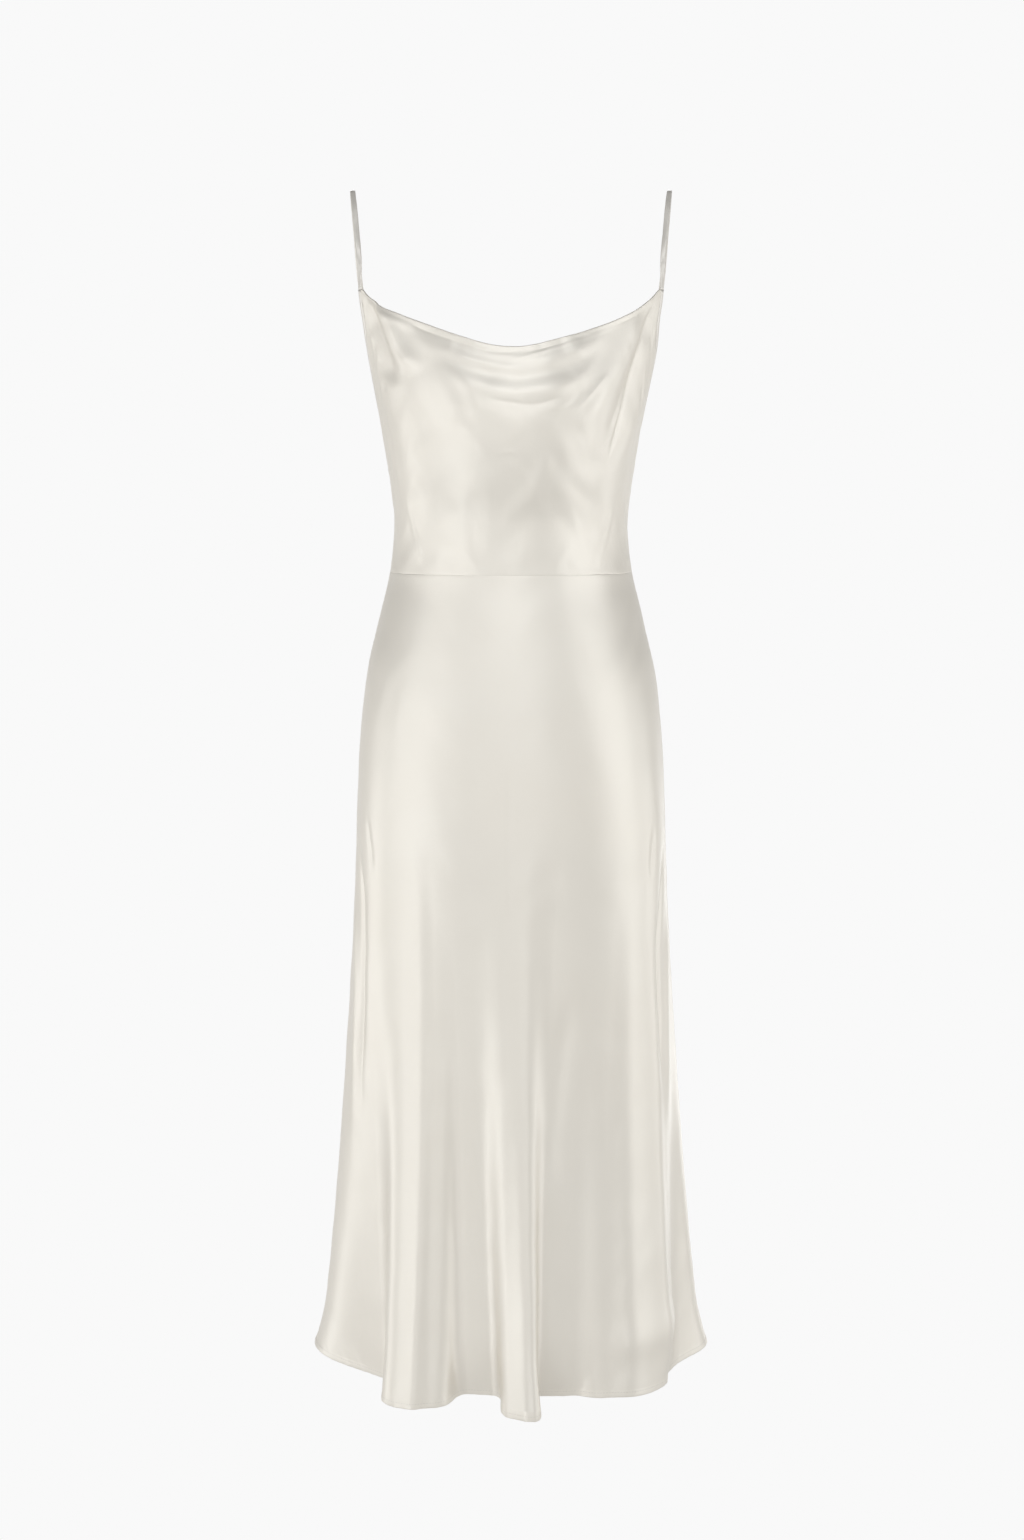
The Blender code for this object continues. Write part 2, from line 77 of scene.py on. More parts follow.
def curve(at: Array, places: Array, values: Array) -> Array:
    """A smooth curve through values: cubic Hermite pieces whose slopes are the values' own gradient.

    Args:
        at: where to read the curve.
        places: where the values stand, in rising order.
        values: what the curve passes through.

    Returns:
        The curve's values, held level past both ends.
    """
    slopes = np.gradient(values, places)
    at = np.clip(at, places[0], places[-1])
    left = np.clip(np.searchsorted(places, at, side="right") - 1, 0, len(places) - 2)
    span = places[left + 1] - places[left]
    t = (at - places[left]) / span
    start = (1 + 2 * t) * (1 - t) ** 2 * values[left] + t * (1 - t) ** 2 * span * slopes[left]
    end = t**2 * (3 - 2 * t) * values[left + 1] - t**2 * (1 - t) * span * slopes[left + 1]
    return start + end


def through(knots: Sequence[Sequence[float]] | Array, count: int) -> Array:
    """Points at equal steps of chord along a smooth curve through knots.

    Args:
        knots: the points that the curve passes through, in any number of dimensions.
        count: how many points to give.

    Returns:
        An array of `count` points.
    """
    knots = np.asarray(knots, float)
    places = np.concatenate([[0], np.linalg.norm(np.diff(knots, axis=0), axis=1).cumsum()])
    at = np.linspace(0, places[-1], count)
    return np.stack([curve(at, places, column) for column in knots.T], axis=-1)


def run_length(points: Array, axis: int) -> Array:
    """Distance covered along one axis of a grid of points: the sum of the steps' lengths.

    Args:
        points: a grid of points, or a line of them.
        axis: the axis to walk along.

    Returns:
        The distance at each point, starting from 0.
    """
    steps = np.linalg.norm(np.diff(points, axis=axis), axis=-1)
    start = np.zeros_like(np.take(steps, [0], axis=axis))
    return np.concatenate([start, steps.cumsum(axis=axis)], axis=axis)


def grid_normals(points: Array) -> Array:
    """Outward directions of a grid with rows down and columns round: slope down crossed with slope round."""
    return unit(np.cross(np.gradient(points, axis=0), np.gradient(points, axis=1)))


def ripples(along: Array, spacing: float, seed: int) -> Array:
    """An uneven wave: three sines of unrelated lengths and seeded starts, whose strengths add up to 1.

    Args:
        along: where to read the wave.
        spacing: the length of its strongest sine.
        seed: what its starts are drawn from.

    Returns:
        The wave, between -1 and 1.
    """
    starts = np.random.default_rng(seed).uniform(0, 2 * math.pi, 3)
    lengths, strengths = (1.0, 1.73, 0.61), (0.5, 0.32, 0.18)
    turns = 2 * math.pi * along / spacing
    return sum(s * np.sin(turns / n + p) for n, s, p in zip(lengths, strengths, starts))


# ---------------------------------------------------------------- the form of the cloth


class Girth(NamedTuple):
    """A level section: its drop, half its breadth, its reach in front and behind, and its squareness."""

    drop: float
    half_breadth: float
    front: float
    back: float
    square: float


class Flare(NamedTuple):
    """The line of a flare's crest or hollow: its angles at hip and hem, where it starts, how far it
    stands out at the hem, how far it hangs below the hem line, and how far it kicks out just above it."""

    name: str
    at_hip: float
    at_hem: float
    starts: float
    height: float
    dip: float
    kick: float = 0.0


class Drape(NamedTuple):
    """A large drape fold of the front: a bow between two points, given across (x) and by their drop."""

    name: str
    x0: float
    drop0: float
    x1: float
    drop1: float
    bow: float
    height: float
    width: float


class Edge(NamedTuple):
    """A point of the finished upper edge."""

    angle: float
    drop: float


GIRTHS = (
    Girth(0.095, 0.1715, 0.098, 0.084, 2.30),
    Girth(0.135, 0.1625, 0.104, 0.088, 2.30),
    Girth(0.170, 0.1530, 0.113, 0.091, 2.30),
    Girth(0.203, 0.1450, 0.121, 0.093, 2.25),
    Girth(0.236, 0.1385, 0.123, 0.093, 2.20),
    Girth(0.290, 0.1300, 0.115, 0.088, 2.15),
    Girth(0.342, 0.1240, 0.104, 0.080, 2.05),
    Girth(0.396, 0.1290, 0.101, 0.081, 2.03),
    Girth(0.450, 0.1420, 0.107, 0.096, 2.06),
    Girth(0.500, 0.1535, 0.112, 0.112, 2.17),
    Girth(0.570, 0.1617, 0.115, 0.125, 2.40),
    Girth(0.650, 0.1656, 0.116, 0.127, 2.70),
    Girth(0.760, 0.1695, 0.115, 0.123, 2.75),
    Girth(0.900, 0.1765, 0.119, 0.127, 2.60),
    Girth(1.050, 0.1845, 0.128, 0.137, 2.45),
    Girth(1.180, 0.1935, 0.141, 0.149, 2.30),
    Girth(1.262, 0.2010, 0.150, 0.157, 2.20),
)
FRONT_CORNER, BACK_CORNER = 73.0, 118.0
LEFT_SEAM, RIGHT_SEAM, CENTRE_BACK = 90.0, -90.0, 180.0
NECKLINE = (
    Edge(-FRONT_CORNER, 0.1035),
    Edge(-71.7, 0.1045),
    Edge(-70.0, 0.1095),
    Edge(-66.3, 0.1170),
    Edge(-55.3, 0.1301),
    Edge(-40.8, 0.1429),
    Edge(-25.2, 0.1544),
    Edge(-9.0, 0.1630),
    Edge(6.0, 0.1643),
    Edge(24.1, 0.1564),
    Edge(39.6, 0.1470),
    Edge(54.4, 0.1341),
    Edge(65.3, 0.1190),
    Edge(69.6, 0.1100),
    Edge(71.7, 0.1045),
    Edge(FRONT_CORNER, 0.1035),
)
ARMHOLE_FRONT = (
    Edge(FRONT_CORNER, 0.1035),
    Edge(74.0, 0.1350),
    Edge(76.5, 0.1700),
    Edge(80.5, 0.2030),
    Edge(84.7, 0.2210),
    Edge(LEFT_SEAM, 0.2330),
)
ARMHOLE_BACK = (
    Edge(LEFT_SEAM, 0.2330),
    Edge(98.0, 0.2450),
    Edge(108.0, 0.2540),
    Edge(BACK_CORNER, 0.2590),
)
BACK_NECKLINE = (
    Edge(BACK_CORNER, 0.2590),
    Edge(135.0, 0.2700),
    Edge(157.0, 0.2820),
    Edge(CENTRE_BACK, 0.2860),
)
FLARES = (
    Flare("right_side_crest", -90.0, -90.0, 0.70, 0.0120, -0.009),
    Flare("right_side_hollow", -66.0, -57.0, 0.80, -0.0230, 0.000),
    Flare("right_flare_edge", -51.0, -37.6, 0.66, 0.0290, 0.004, 0.003),
    Flare("right_flare_crest", -45.0, -34.0, 0.66, 0.0290, 0.004, 0.003),
    Flare("right_flare_end", -38.0, -27.5, 0.72, 0.0190, 0.004, 0.002),
    Flare("right_front_hollow", -30.0, -17.5, 0.76, 0.0000, -0.002, -0.009),
    Flare("right_front_hollow_end", -24.0, -8.0, 0.74, 0.0000, -0.002, -0.008),
    Flare("front_fold_right", -6.0, 0.2, 0.58, 0.0165, 0.0095, 0.009),
    Flare("front_fold_left", 6.5, 7.5, 0.58, 0.0230, 0.0095, 0.012),
    Flare("left_front_hollow", 24.0, 11.5, 0.70, 0.0030, -0.001, -0.0105),
    Flare("left_front_hollow_end", 38.0, 24.0, 0.78, -0.0020, 0.000, -0.005),
    Flare("left_flare_start", 49.0, 35.0, 0.76, 0.0060, 0.001),
    Flare("left_flare_edge", 58.0, 46.5, 0.68, 0.0175, 0.001, -0.001),
    Flare("left_flare_turn", 66.0, 56.5, 0.70, 0.0160, 0.001, -0.006),
    Flare("left_flare_end", 72.0, 66.5, 0.80, -0.0010, -0.001, -0.008),
    Flare("left_side_hollow", 78.0, 72.5, 0.80, -0.0110, -0.003),
    Flare("left_side_crest", 90.0, 90.0, 0.70, 0.0120, -0.009),
    Flare("left_rear_hollow", 112.0, 113.0, 0.80, -0.0170, 0.000),
    Flare("left_rear_flare_start", 124.0, 126.0, 0.72, 0.0260, 0.002),
    Flare("left_rear_flare_end", 138.0, 141.0, 0.72, 0.0200, 0.001),
    Flare("left_back_hollow", 152.0, 157.0, 0.78, -0.0170, 0.000),
    Flare("back_fold_left", 168.0, 169.0, 0.78, 0.0300, 0.004),
    Flare("back_fold_right", 182.0, 182.0, 0.78, 0.0270, 0.004),
    Flare("right_back_hollow", 199.0, 193.0, 0.78, -0.0160, 0.000),
    Flare("right_rear_flare_start", 214.0, 209.0, 0.74, 0.0180, 0.000),
    Flare("right_rear_flare_end", 230.0, 231.0, 0.72, 0.0290, 0.002),
    Flare("right_rear_hollow", 246.0, 246.0, 0.80, -0.0150, 0.000),
    Flare("right_side_crest_again", 270.0, 270.0, 0.70, 0.0120, -0.009),
)
DRAPES = (
    Drape("cowl_roll", -0.112, 0.146, 0.112, 0.146, 0.034, 0.0016, 0.0100),
    Drape("cowl_hollow", -0.088, 0.158, 0.100, 0.160, 0.036, -0.0017, 0.0090),
    Drape("second_roll", -0.085, 0.172, 0.098, 0.176, 0.038, 0.0011, 0.0110),
    Drape("second_hollow", -0.050, 0.205, 0.090, 0.196, 0.020, -0.0009, 0.0080),
    Drape("third_roll", -0.060, 0.222, 0.070, 0.216, 0.018, 0.0006, 0.0110),
    Drape("left_strap_fold", 0.151, 0.112, 0.092, 0.276, -0.003, -0.0036, 0.0095),
    Drape("left_strap_ridge", 0.138, 0.118, 0.066, 0.255, -0.006, 0.0030, 0.0110),
    Drape("left_side_ridge", 0.154, 0.128, 0.110, 0.290, -0.003, 0.0026, 0.0085),
    Drape("right_strap_fold", -0.145, 0.112, -0.116, 0.205, 0.006, -0.0042, 0.0090),
    Drape("right_strap_ridge", -0.136, 0.116, -0.092, 0.190, 0.008, 0.0030, 0.0100),
)


@dataclass(frozen=True)
class DressForm:
    """The outer face of the cloth as a function of angle and drop, the same as the solids'."""

    waist_drop: float = 0.396
    hip_drop: float = 0.650
    hem_drop: float = 1.259
    seam_gap: float = 0.0003
    flare_growth: float = 1.50
    pinch: float = 0.11
    kick_start: float = 1.190
    kick_out: float = 0.0085
    kick_spread: float = 16.0
    drape_fade: float = 0.25
    flat_at_waist: float = 0.05
    metres_per_degree: float = 0.0027
    squareness: float = 1.08
    turn_step: float = 0.05
    drop_step: float = 0.0002

    def column(self, drop: Array, name: str) -> Array:
        """One column of the table of girths, on a smooth curve down the body."""
        places = np.array([girth.drop for girth in GIRTHS])
        return curve(drop, places, np.array([getattr(girth, name) for girth in GIRTHS]))

    def plain_radius(self, angle: Array, drop: Array) -> Array:
        """Distance from the body's axis before any fold.

        Each level section is a superellipse: the sum of (|sin| / breadth)^n and (|cos| / depth)^n, to
        the power of -1/n.

        Args:
            angle: degrees round the body.
            drop: metres below the shoulders.

        Returns:
            The radius at each place.
        """
        half_breadth, square = self.column(drop, "half_breadth"), self.column(drop, "square")
        turn = np.radians(angle)
        depth = np.where(np.cos(turn) > 0, self.column(drop, "front"), self.column(drop, "back"))
        across, along = np.abs(np.sin(turn)) / half_breadth, np.abs(np.cos(turn)) / depth
        return (across**square + along**square) ** (-1 / square)

    def metres_per_degree_at(self, drop: Array) -> Array:
        """Cloth to a degree at this drop: the mean of the section's four reaches, in radians, times the
        little that a squarer section is longer than a round one."""
        reaches = 2 * self.column(drop, "half_breadth") + self.column(drop, "front") + self.column(drop, "back")
        return reaches / 4 * math.pi / 180 * self.squareness

    def flare_angle(self, flare: Flare, drop: Array) -> Array:
        """Where a flare's line is at this drop: straight from hip to hem, and level below the hem."""
        share = np.minimum((drop - self.hip_drop) / (self.hem_drop - self.hip_drop), 1)
        return flare.at_hip + (flare.at_hem - flare.at_hip) * share

    def flare_height(self, flare: Flare, drop: Array) -> Array:
        """How far a flare's line stands out: its height at the hem times a power of the way down, and
        its kick times the square of the way down the last stretch."""
        share = np.maximum((drop - flare.starts) / (self.hem_drop - flare.starts), 0)
        return flare.height * share**self.flare_growth + flare.kick * self.kick_share(drop)

    def kick_share(self, drop: Array) -> Array:
        """The square of the way down the last stretch above the hem."""
        return np.clip((drop - self.kick_start) / (self.hem_drop - self.kick_start), 0, 1) ** 2

    def flares(self, angle: Array, drop: Array) -> tuple[Array, Array]:
        """Shift of the cloth by the flares.

        Round the body the outward shift is a cubic Hermite curve through the flares' heights. Its slope
        is zero at a crest or hollow and the harmonic mean of the slopes on both sides at any other line,
        so it never swings past them. A sine of the way between two lines folds the flank in under the
        crest.

        Args:
            angle: degrees round the body.
            drop: metres below the shoulders.

        Returns:
            The outward shift and the sideways one.
        """
        angle = (angle - RIGHT_SEAM) % 360 + RIGHT_SEAM
        lines = np.array([self.flare_angle(flare, drop) for flare in FLARES])
        heights = np.array([self.flare_height(flare, drop) for flare in FLARES])
        gaps, rises = np.diff(lines, axis=0), np.diff(heights, axis=0)
        before, after = rises[:-1] / gaps[:-1], rises[1:] / gaps[1:]
        slopes = np.zeros(heights.shape)
        monotone = before * after > 0
        slopes[1:-1][monotone] = (2 * before * after)[monotone] / (before + after)[monotone]
        outward, sideways = np.zeros(angle.shape), np.zeros(angle.shape)
        for k, gap in enumerate(gaps):
            t = (angle - lines[k]) / gap
            between = (t >= 0) & (t < 1)
            bend = t * (1 - t) * gap * ((1 - t) * slopes[k] - t * slopes[k + 1])
            outward += between * (heights[k] + rises[k] * ease(t) + bend)
            sideways += between * self.pinch * np.abs(rises[k]) * np.sin(2 * math.pi * t)
        return outward, sideways

    def hem_dip(self, angle: Array) -> Array:
        """How far the hem hangs below the hem line, eased between the flares' own dips.

        Args:
            angle: degrees round the body.

        Returns:
            The dip at each angle.
        """
        angle = (angle - RIGHT_SEAM) % 360 + RIGHT_SEAM
        lines = np.array([flare.at_hem for flare in FLARES])
        dips = np.array([flare.dip for flare in FLARES])
        left = np.clip(np.searchsorted(lines, angle, side="right") - 1, 0, len(lines) - 2)
        share = ease((angle - lines[left]) / (lines[left + 1] - lines[left]))
        return dips[left] + (dips[left + 1] - dips[left]) * share

    def side_kick(self, angle: Array, drop: Array) -> Array:
        """Outward kick at both side seams: the square of the way down its stretch, times a bell."""
        from_seam = np.abs(np.abs((angle + 180) % 360 - 180) - LEFT_SEAM)
        return self.kick_out * self.kick_share(drop) * bell(from_seam, self.kick_spread)

    def drapes(self, angle: Array, drop: Array) -> Array:
        """Shift of the front bodice by its drape folds.

        Each fold is a bell of the distance from its line, which is a chord bowed out as a parabola, and
        it fades at both ends of the chord. All of them die out above the waist.

        Args:
            angle: degrees round the body.
            drop: metres below the shoulders.

        Returns:
            The outward shift.
        """
        x = self.plain_radius(angle, drop) * np.sin(np.radians(angle))
        faces_front = np.cos(np.radians(angle)) > 0
        shift = np.zeros(x.shape)
        for fold in DRAPES:
            run = np.array([fold.x1 - fold.x0, fold.drop1 - fold.drop0])
            length = np.hypot(*run)
            along = ((x - fold.x0) * run[0] + (drop - fold.drop0) * run[1]) / length**2
            off = ((drop - fold.drop0) * run[0] - (x - fold.x0) * run[1]) / length
            off = off - fold.bow * 4 * along * (1 - along)
            fade = ease(along / self.drape_fade) * ease((1 - along) / self.drape_fade)
            shift += fold.height * bell(off, fold.width) * fade * faces_front
        return shift * ease((self.waist_drop - drop) / self.flat_at_waist)

    def point(self, angle: Array, drop: Array) -> Array:
        """Points on the outer face of the cloth.

        The radius is the plain one with the flares, side kicks and drapes added; x is radius times
        sine and y is minus radius times cosine, each with its part of the sideways shift.

        Args:
            angle: degrees round the body.
            drop: metres below the shoulders.

        Returns:
            An array whose last axis is x, y, z.
        """
        angle, drop = np.broadcast_arrays(np.asarray(angle, float), np.asarray(drop, float))
        outward, sideways = self.flares(angle, drop)
        radius = self.plain_radius(angle, drop) + outward
        radius = radius + self.side_kick(angle, drop) + self.drapes(angle, drop)
        turn = np.radians(angle)
        x = radius * np.sin(turn) + sideways * np.cos(turn)
        y = -radius * np.cos(turn) + sideways * np.sin(turn)
        return np.stack([x, y, -drop], axis=-1)

    def normal(self, angle: Array, drop: Array) -> Array:
        """Outward directions of the cloth: a small step down it crossed with one round the body.

        Args:
            angle: degrees round the body.
            drop: metres below the shoulders.

        Returns:
            Directions of length 1.
        """
        around = self.point(angle + self.turn_step, drop) - self.point(angle - self.turn_step, drop)
        down = self.point(angle, drop + self.drop_step) - self.point(angle, drop - self.drop_step)
        return unit(np.cross(down, around))

    def around(self, angle: float, drop: float) -> Array:
        """Direction in the cloth, level, towards a larger angle."""
        step = self.point(angle + self.turn_step, drop) - self.point(angle - self.turn_step, drop)
        return unit(step * (1, 1, 0))

    def edge_path(self, edges: Sequence[Edge], count: int) -> Path:
        """A stretch of the upper edge as a smooth curve through its points.

        Args:
            edges: the points.
            count: how many places to give.

        Returns:
            Angles and drops at equal steps of cloth.
        """
        scale = np.array([self.metres_per_degree, 1.0])
        angles, drops = (through(np.array(edges) * scale, count) / scale).T
        return angles, drops


def mirrored(path: Path, whole: float = 0.0) -> Path:
    """A stretch of the edge on the other side, walked the other way: each angle taken from a whole of 0
    about the centre front, or of 360 about the centre back."""
    angles, drops = path
    return whole - angles[::-1], drops[::-1]


def joined(*paths: Path) -> Path:
    """Stretches of the edge that follow each other, made one.

    Args:
        paths: the stretches in order, each from the corner where the last one ends.

    Returns:
        The whole stretch, with each shared corner once.
    """
    rest = [(angles[1:], drops[1:]) for angles, drops in paths[1:]]
    angles, drops = (np.concatenate(parts) for parts in zip(paths[0], *rest))
    return angles, drops


# ---------------------------------------------------------------- creases


class Profile(Enum):
    """How a crease is shaped across its line: a soft bell, or a sharp fold with a long foot."""

    ROUND = "round"
    CRISP = "crisp"


class Crease(NamedTuple):
    """A crease along a smooth line of (angle, drop) knots.

    Its height is above zero for a ridge and below zero for a trough, and its width is half of what it
    covers. It fades in and out over shares of its length, and ends `widens` times as wide as it starts.
    """

    name: str
    height: float
    width: float
    knots: tuple[tuple[float, float], ...]
    fades: tuple[float, float] = (0.3, 0.3)
    profile: Profile = Profile.ROUND
    widens: float = 1.0


@dataclass(frozen=True)
class Creases:
    """Every crease of one panel, as an outward shift of its cloth."""

    form: DressForm
    table: tuple[Crease, ...]
    samples: int = 28
    reach: float = 4.0
    crisp_tip: float = 0.35
    crisp_foot: float = 3.0

    def profile(self, profile: Profile, share: Array) -> Array:
        """The form of a crease across its line: exp(-s^2) where it is round, and where it is crisp
        exp(tip - sqrt(s^2 + tip^2)) times a wide bell.

        Args:
            profile: which of the two.
            share: distances from the line, as shares s of the crease's width.

        Returns:
            Its height, 1 on the line.
        """
        if profile is Profile.ROUND:
            return bell(share, 1.0)
        fold = np.exp(self.crisp_tip - np.sqrt(share**2 + self.crisp_tip**2))
        return fold * bell(share, self.crisp_foot)

    def shift(self, angle: Array, drop: Array) -> Array:
        """The sum of all creases at each place of a panel.

        Args:
            angle: degrees round the body.
            drop: metres below the shoulders.

        Returns:
            The outward shift, in metres.
        """
        total = np.zeros(angle.shape)
        scale = self.form.metres_per_degree_at(drop)
        for crease in self.table:
            self.add(total, crease, angle, drop, scale)
        return total

    def add(self, total: Array, crease: Crease, angle: Array, drop: Array, scale: Array) -> None:
        """Adds one crease to the total.

        Each place's distance to the crease's line is that to the nearest of its short chords, measured
        in metres of cloth.

        Args:
            total: the shift so far, which is added to.
            crease: the crease.
            angle: degrees round the body.
            drop: metres below the shoulders.
            scale: metres of cloth to a degree at each place.
        """
        line = through(np.array(crease.knots) * (self.form.metres_per_degree, 1), self.samples)
        line = line / (self.form.metres_per_degree, 1)
        room = self.reach * crease.width * max(crease.widens, 1)
        low, high = line.min(axis=0), line.max(axis=0)
        room_angle = room / scale.min()
        near = (angle > low[0] - room_angle) & (angle < high[0] + room_angle)
        near &= (drop > low[1] - room) & (drop < high[1] + room)
        across, down, size = angle[near] * scale[near], drop[near], scale[near]
        best, place = np.full(across.shape, np.inf), np.zeros(across.shape)
        for step, (start, end) in enumerate(zip(line, line[1:])):
            run_x, run_y = (end[0] - start[0]) * size, end[1] - start[1]
            from_x, from_y = across - start[0] * size, down - start[1]
            share = np.clip((from_x * run_x + from_y * run_y) / (run_x**2 + run_y**2), 0, 1)
            away = np.hypot(from_x - share * run_x, from_y - share * run_y)
            nearer = away < best
            best = np.where(nearer, away, best)
            place = np.where(nearer, (step + share) / (len(line) - 1), place)
        width = crease.width * (1 + (crease.widens - 1) * place)
        fade = ease(place / crease.fades[0]) * ease((1 - place) / crease.fades[1])
        total[near] += crease.height * self.profile(crease.profile, best / width) * fade


@dataclass(frozen=True)
class Rumple:
    """Soft, uneven rumpling of cloth that hangs free of the body.

    It is a sum of waves in seeded directions, whose lengths lie around one spacing, read at places that
    slower waves have pushed about.
    """

    height: float
    spacing: float
    seed: int
    waves: int = 9
    lengths: tuple[float, float] = (0.7, 1.5)
    push: float = 0.35
    push_spacing: float = 2.6
    push_turns: tuple[float, float] = (0.7, 1.2)

    def shift(self, across: Array, down: Array) -> Array:
        """The sum of the waves, scaled so that its usual swing is the rumples' height.

        Args:
            across: metres of cloth round the body.
            down: metres down it.

        Returns:
            The outward shift.
        """
        draw = np.random.default_rng(self.seed)
        turn = draw.uniform(0, 2 * math.pi, (2, 3))
        push, slow = self.push * self.spacing, 2 * math.pi / (self.push_spacing * self.spacing)
        first, second = self.push_turns
        pushed_x = across + push * np.sin(down * slow + turn[0, 0]) * np.cos(across * slow * first + turn[0, 1])
        pushed_y = down + push * np.sin(across * slow * second + turn[1, 0])
        total = np.zeros(across.shape)
        for _ in range(self.waves):
            way, start = draw.uniform(0, 2 * math.pi, 2)
            length = self.spacing * draw.uniform(*self.lengths)
            total += np.sin(2 * math.pi / length * (pushed_x * math.cos(way) + pushed_y * math.sin(way)) + start)
        return self.height * total / math.sqrt(self.waves / 2)


class EdgeWaves(NamedTuple):
    """Uneven waves along an edge that die out away from it: their height, spacing and reach."""

    height: float
    spacing: float
    reach: float

    def shift(self, along: Array, away: Array, seed: int) -> Array:
        """The waves' height times ripples along the edge times exp(-distance / reach)."""
        return self.height * ripples(along, self.spacing, seed) * np.exp(-away / self.reach)


FRONT_BODICE_CREASES = (
    Crease(
        "neck_edge_line_right", -0.00054, 0.0012,
        ((-50, 0.1405), (-41, 0.1490), (-25, 0.1605), (-9, 0.1690), (5, 0.1700)), (0.1, 0.2), Profile.CRISP,
    ),
    Crease(
        "neck_edge_ridge_left", 0.00060, 0.0016,
        ((-3, 0.1785), (12, 0.1712), (22, 0.1645), (45, 0.1480), (59, 0.1340)), (0.3, 0.2),
    ),
    Crease(
        "neck_edge_line_left", -0.00044, 0.0012,
        ((8, 0.1700), (24, 0.1620), (40, 0.1520), (54, 0.1390), (64, 0.1260)), (0.2, 0.2), Profile.CRISP,
    ),
    Crease(
        "first_swag", -0.00090, 0.0052,
        ((-43, 0.1510), (-35, 0.1570), (-22, 0.1690), (-10, 0.1760), (6, 0.1810), (22, 0.1830)),
    ),
    Crease(
        "second_swag", -0.00066, 0.0018,
        ((-14, 0.2150), (-3, 0.2190), (11, 0.2220), (26, 0.2130)), profile=Profile.CRISP,
    ),
    Crease("third_swag", -0.00040, 0.0030, ((13, 0.2350), (28, 0.2220), (35, 0.2070))),
    Crease(
        "breast_hollow_right", -0.00050, 0.0085,
        ((-38, 0.2210), (-29, 0.2310), (-16, 0.2380), (-4, 0.2330)),
    ),
    Crease(
        "cowl_drag_ridge", 0.00080, 0.0022,
        ((47, 0.1870), (41, 0.2020), (35, 0.2170), (29, 0.2310)), profile=Profile.CRISP,
    ),
    Crease(
        "left_strap_trough", -0.00140, 0.0070,
        ((71, 0.1200), (67, 0.1450), (61, 0.1870), (55, 0.2240), (49, 0.2560)), (0.12, 0.45),
    ),
    Crease(
        "left_strap_line", -0.00090, 0.0020,
        ((70, 0.1150), (67, 0.1420), (63, 0.1740), (58, 0.2080), (53, 0.2420)), (0.10, 0.4), Profile.CRISP,
    ),
    Crease(
        "left_strap_pleat", -0.00140, 0.0018,
        ((63, 0.1720), (60, 0.1980), (56, 0.2330), (52, 0.2670), (49, 0.2880)), (0.25, 0.3), Profile.CRISP,
    ),
    Crease("left_strap_roll", 0.00100, 0.0035, ((62, 0.1720), (57, 0.2150), (51, 0.2550), (44, 0.2780))),
    Crease(
        "right_corner_trough", -0.00260, 0.0068,
        ((-70, 0.1110), (-69, 0.1300), (-65, 0.1500), (-60, 0.1720), (-58, 0.1980)), (0.12, 0.5),
    ),
    Crease(
        "right_corner_ridge", 0.00200, 0.0058,
        ((-67, 0.1190), (-61, 0.1350), (-57, 0.1490), (-55, 0.1680)), (0.15, 0.4),
    ),
    Crease(
        "right_corner_edge", -0.00100, 0.0042,
        ((-69, 0.1120), (-64, 0.1200), (-55, 0.1300), (-42, 0.1410)), (0.35, 0.6),
    ),
    Crease(
        "right_neck_roll", 0.00090, 0.0042,
        ((-68, 0.1200), (-61, 0.1310), (-53, 0.1400), (-44, 0.1475)), (0.15, 0.5),
    ),
    Crease("right_side_ridge", 0.00110, 0.0042, ((-72, 0.1440), (-69, 0.1620), (-68, 0.1800))),
    Crease("right_side_dimple", -0.00060, 0.0035, ((-66, 0.1980), (-65, 0.2080))),
    Crease("right_waist_drag", 0.00070, 0.0038, ((-63, 0.3180), (-59, 0.3500), (-53, 0.3870)), (0.35, 0.15)),
    Crease("left_waist_drag", 0.00070, 0.0038, ((62, 0.3220), (57, 0.3600), (51, 0.3900)), (0.35, 0.15)),
    Crease("waist_wrinkle", 0.00020, 0.0024, ((-9, 0.2730), (-3, 0.2700), (4, 0.2712))),
    Crease("right_midriff_roll", 0.00070, 0.0100, ((-40, 0.3820), (-31, 0.3390), (-25, 0.3120), (-17, 0.2900))),
    Crease("centre_midriff_hollow", -0.00035, 0.0100, ((-7, 0.2700), (-3, 0.3180), (-1, 0.3620))),
    Crease("left_midriff_roll", 0.00060, 0.0090, ((9, 0.3240), (14, 0.2960), (21, 0.2700))),
    Crease("left_midriff_hollow", -0.00035, 0.0080, ((33, 0.3230), (44, 0.3420), (51, 0.3650))),
    Crease("left_waist_roll", 0.00040, 0.0070, ((24, 0.3900), (31, 0.3720), (39, 0.3540))),
)
BACK_BODICE_CREASES = (
    Crease(
        "left_shoulder_blade_drag", 0.0012, 0.0044,
        ((122, 0.2640), (131, 0.2950), (146, 0.3300)), (0.1, 0.5),
    ),
    Crease(
        "right_shoulder_blade_drag", 0.0010, 0.0040,
        ((238, 0.2650), (227, 0.2980), (216, 0.3220)), (0.1, 0.5),
    ),
    Crease("left_back_swag", -0.0009, 0.0048, ((132, 0.2800), (158, 0.3020), (182, 0.3090), (204, 0.3010))),
    Crease("lower_back_swag", 0.0007, 0.0052, ((160, 0.3360), (184, 0.3450), (206, 0.3380))),
    Crease("left_back_waist_drag", 0.0009, 0.0040, ((112, 0.3250), (120, 0.3560), (129, 0.3860)), (0.35, 0.15)),
    Crease(
        "right_back_waist_drag", 0.0008, 0.0036,
        ((247, 0.3230), (240, 0.3550), (232, 0.3860)), (0.35, 0.15),
    ),
)
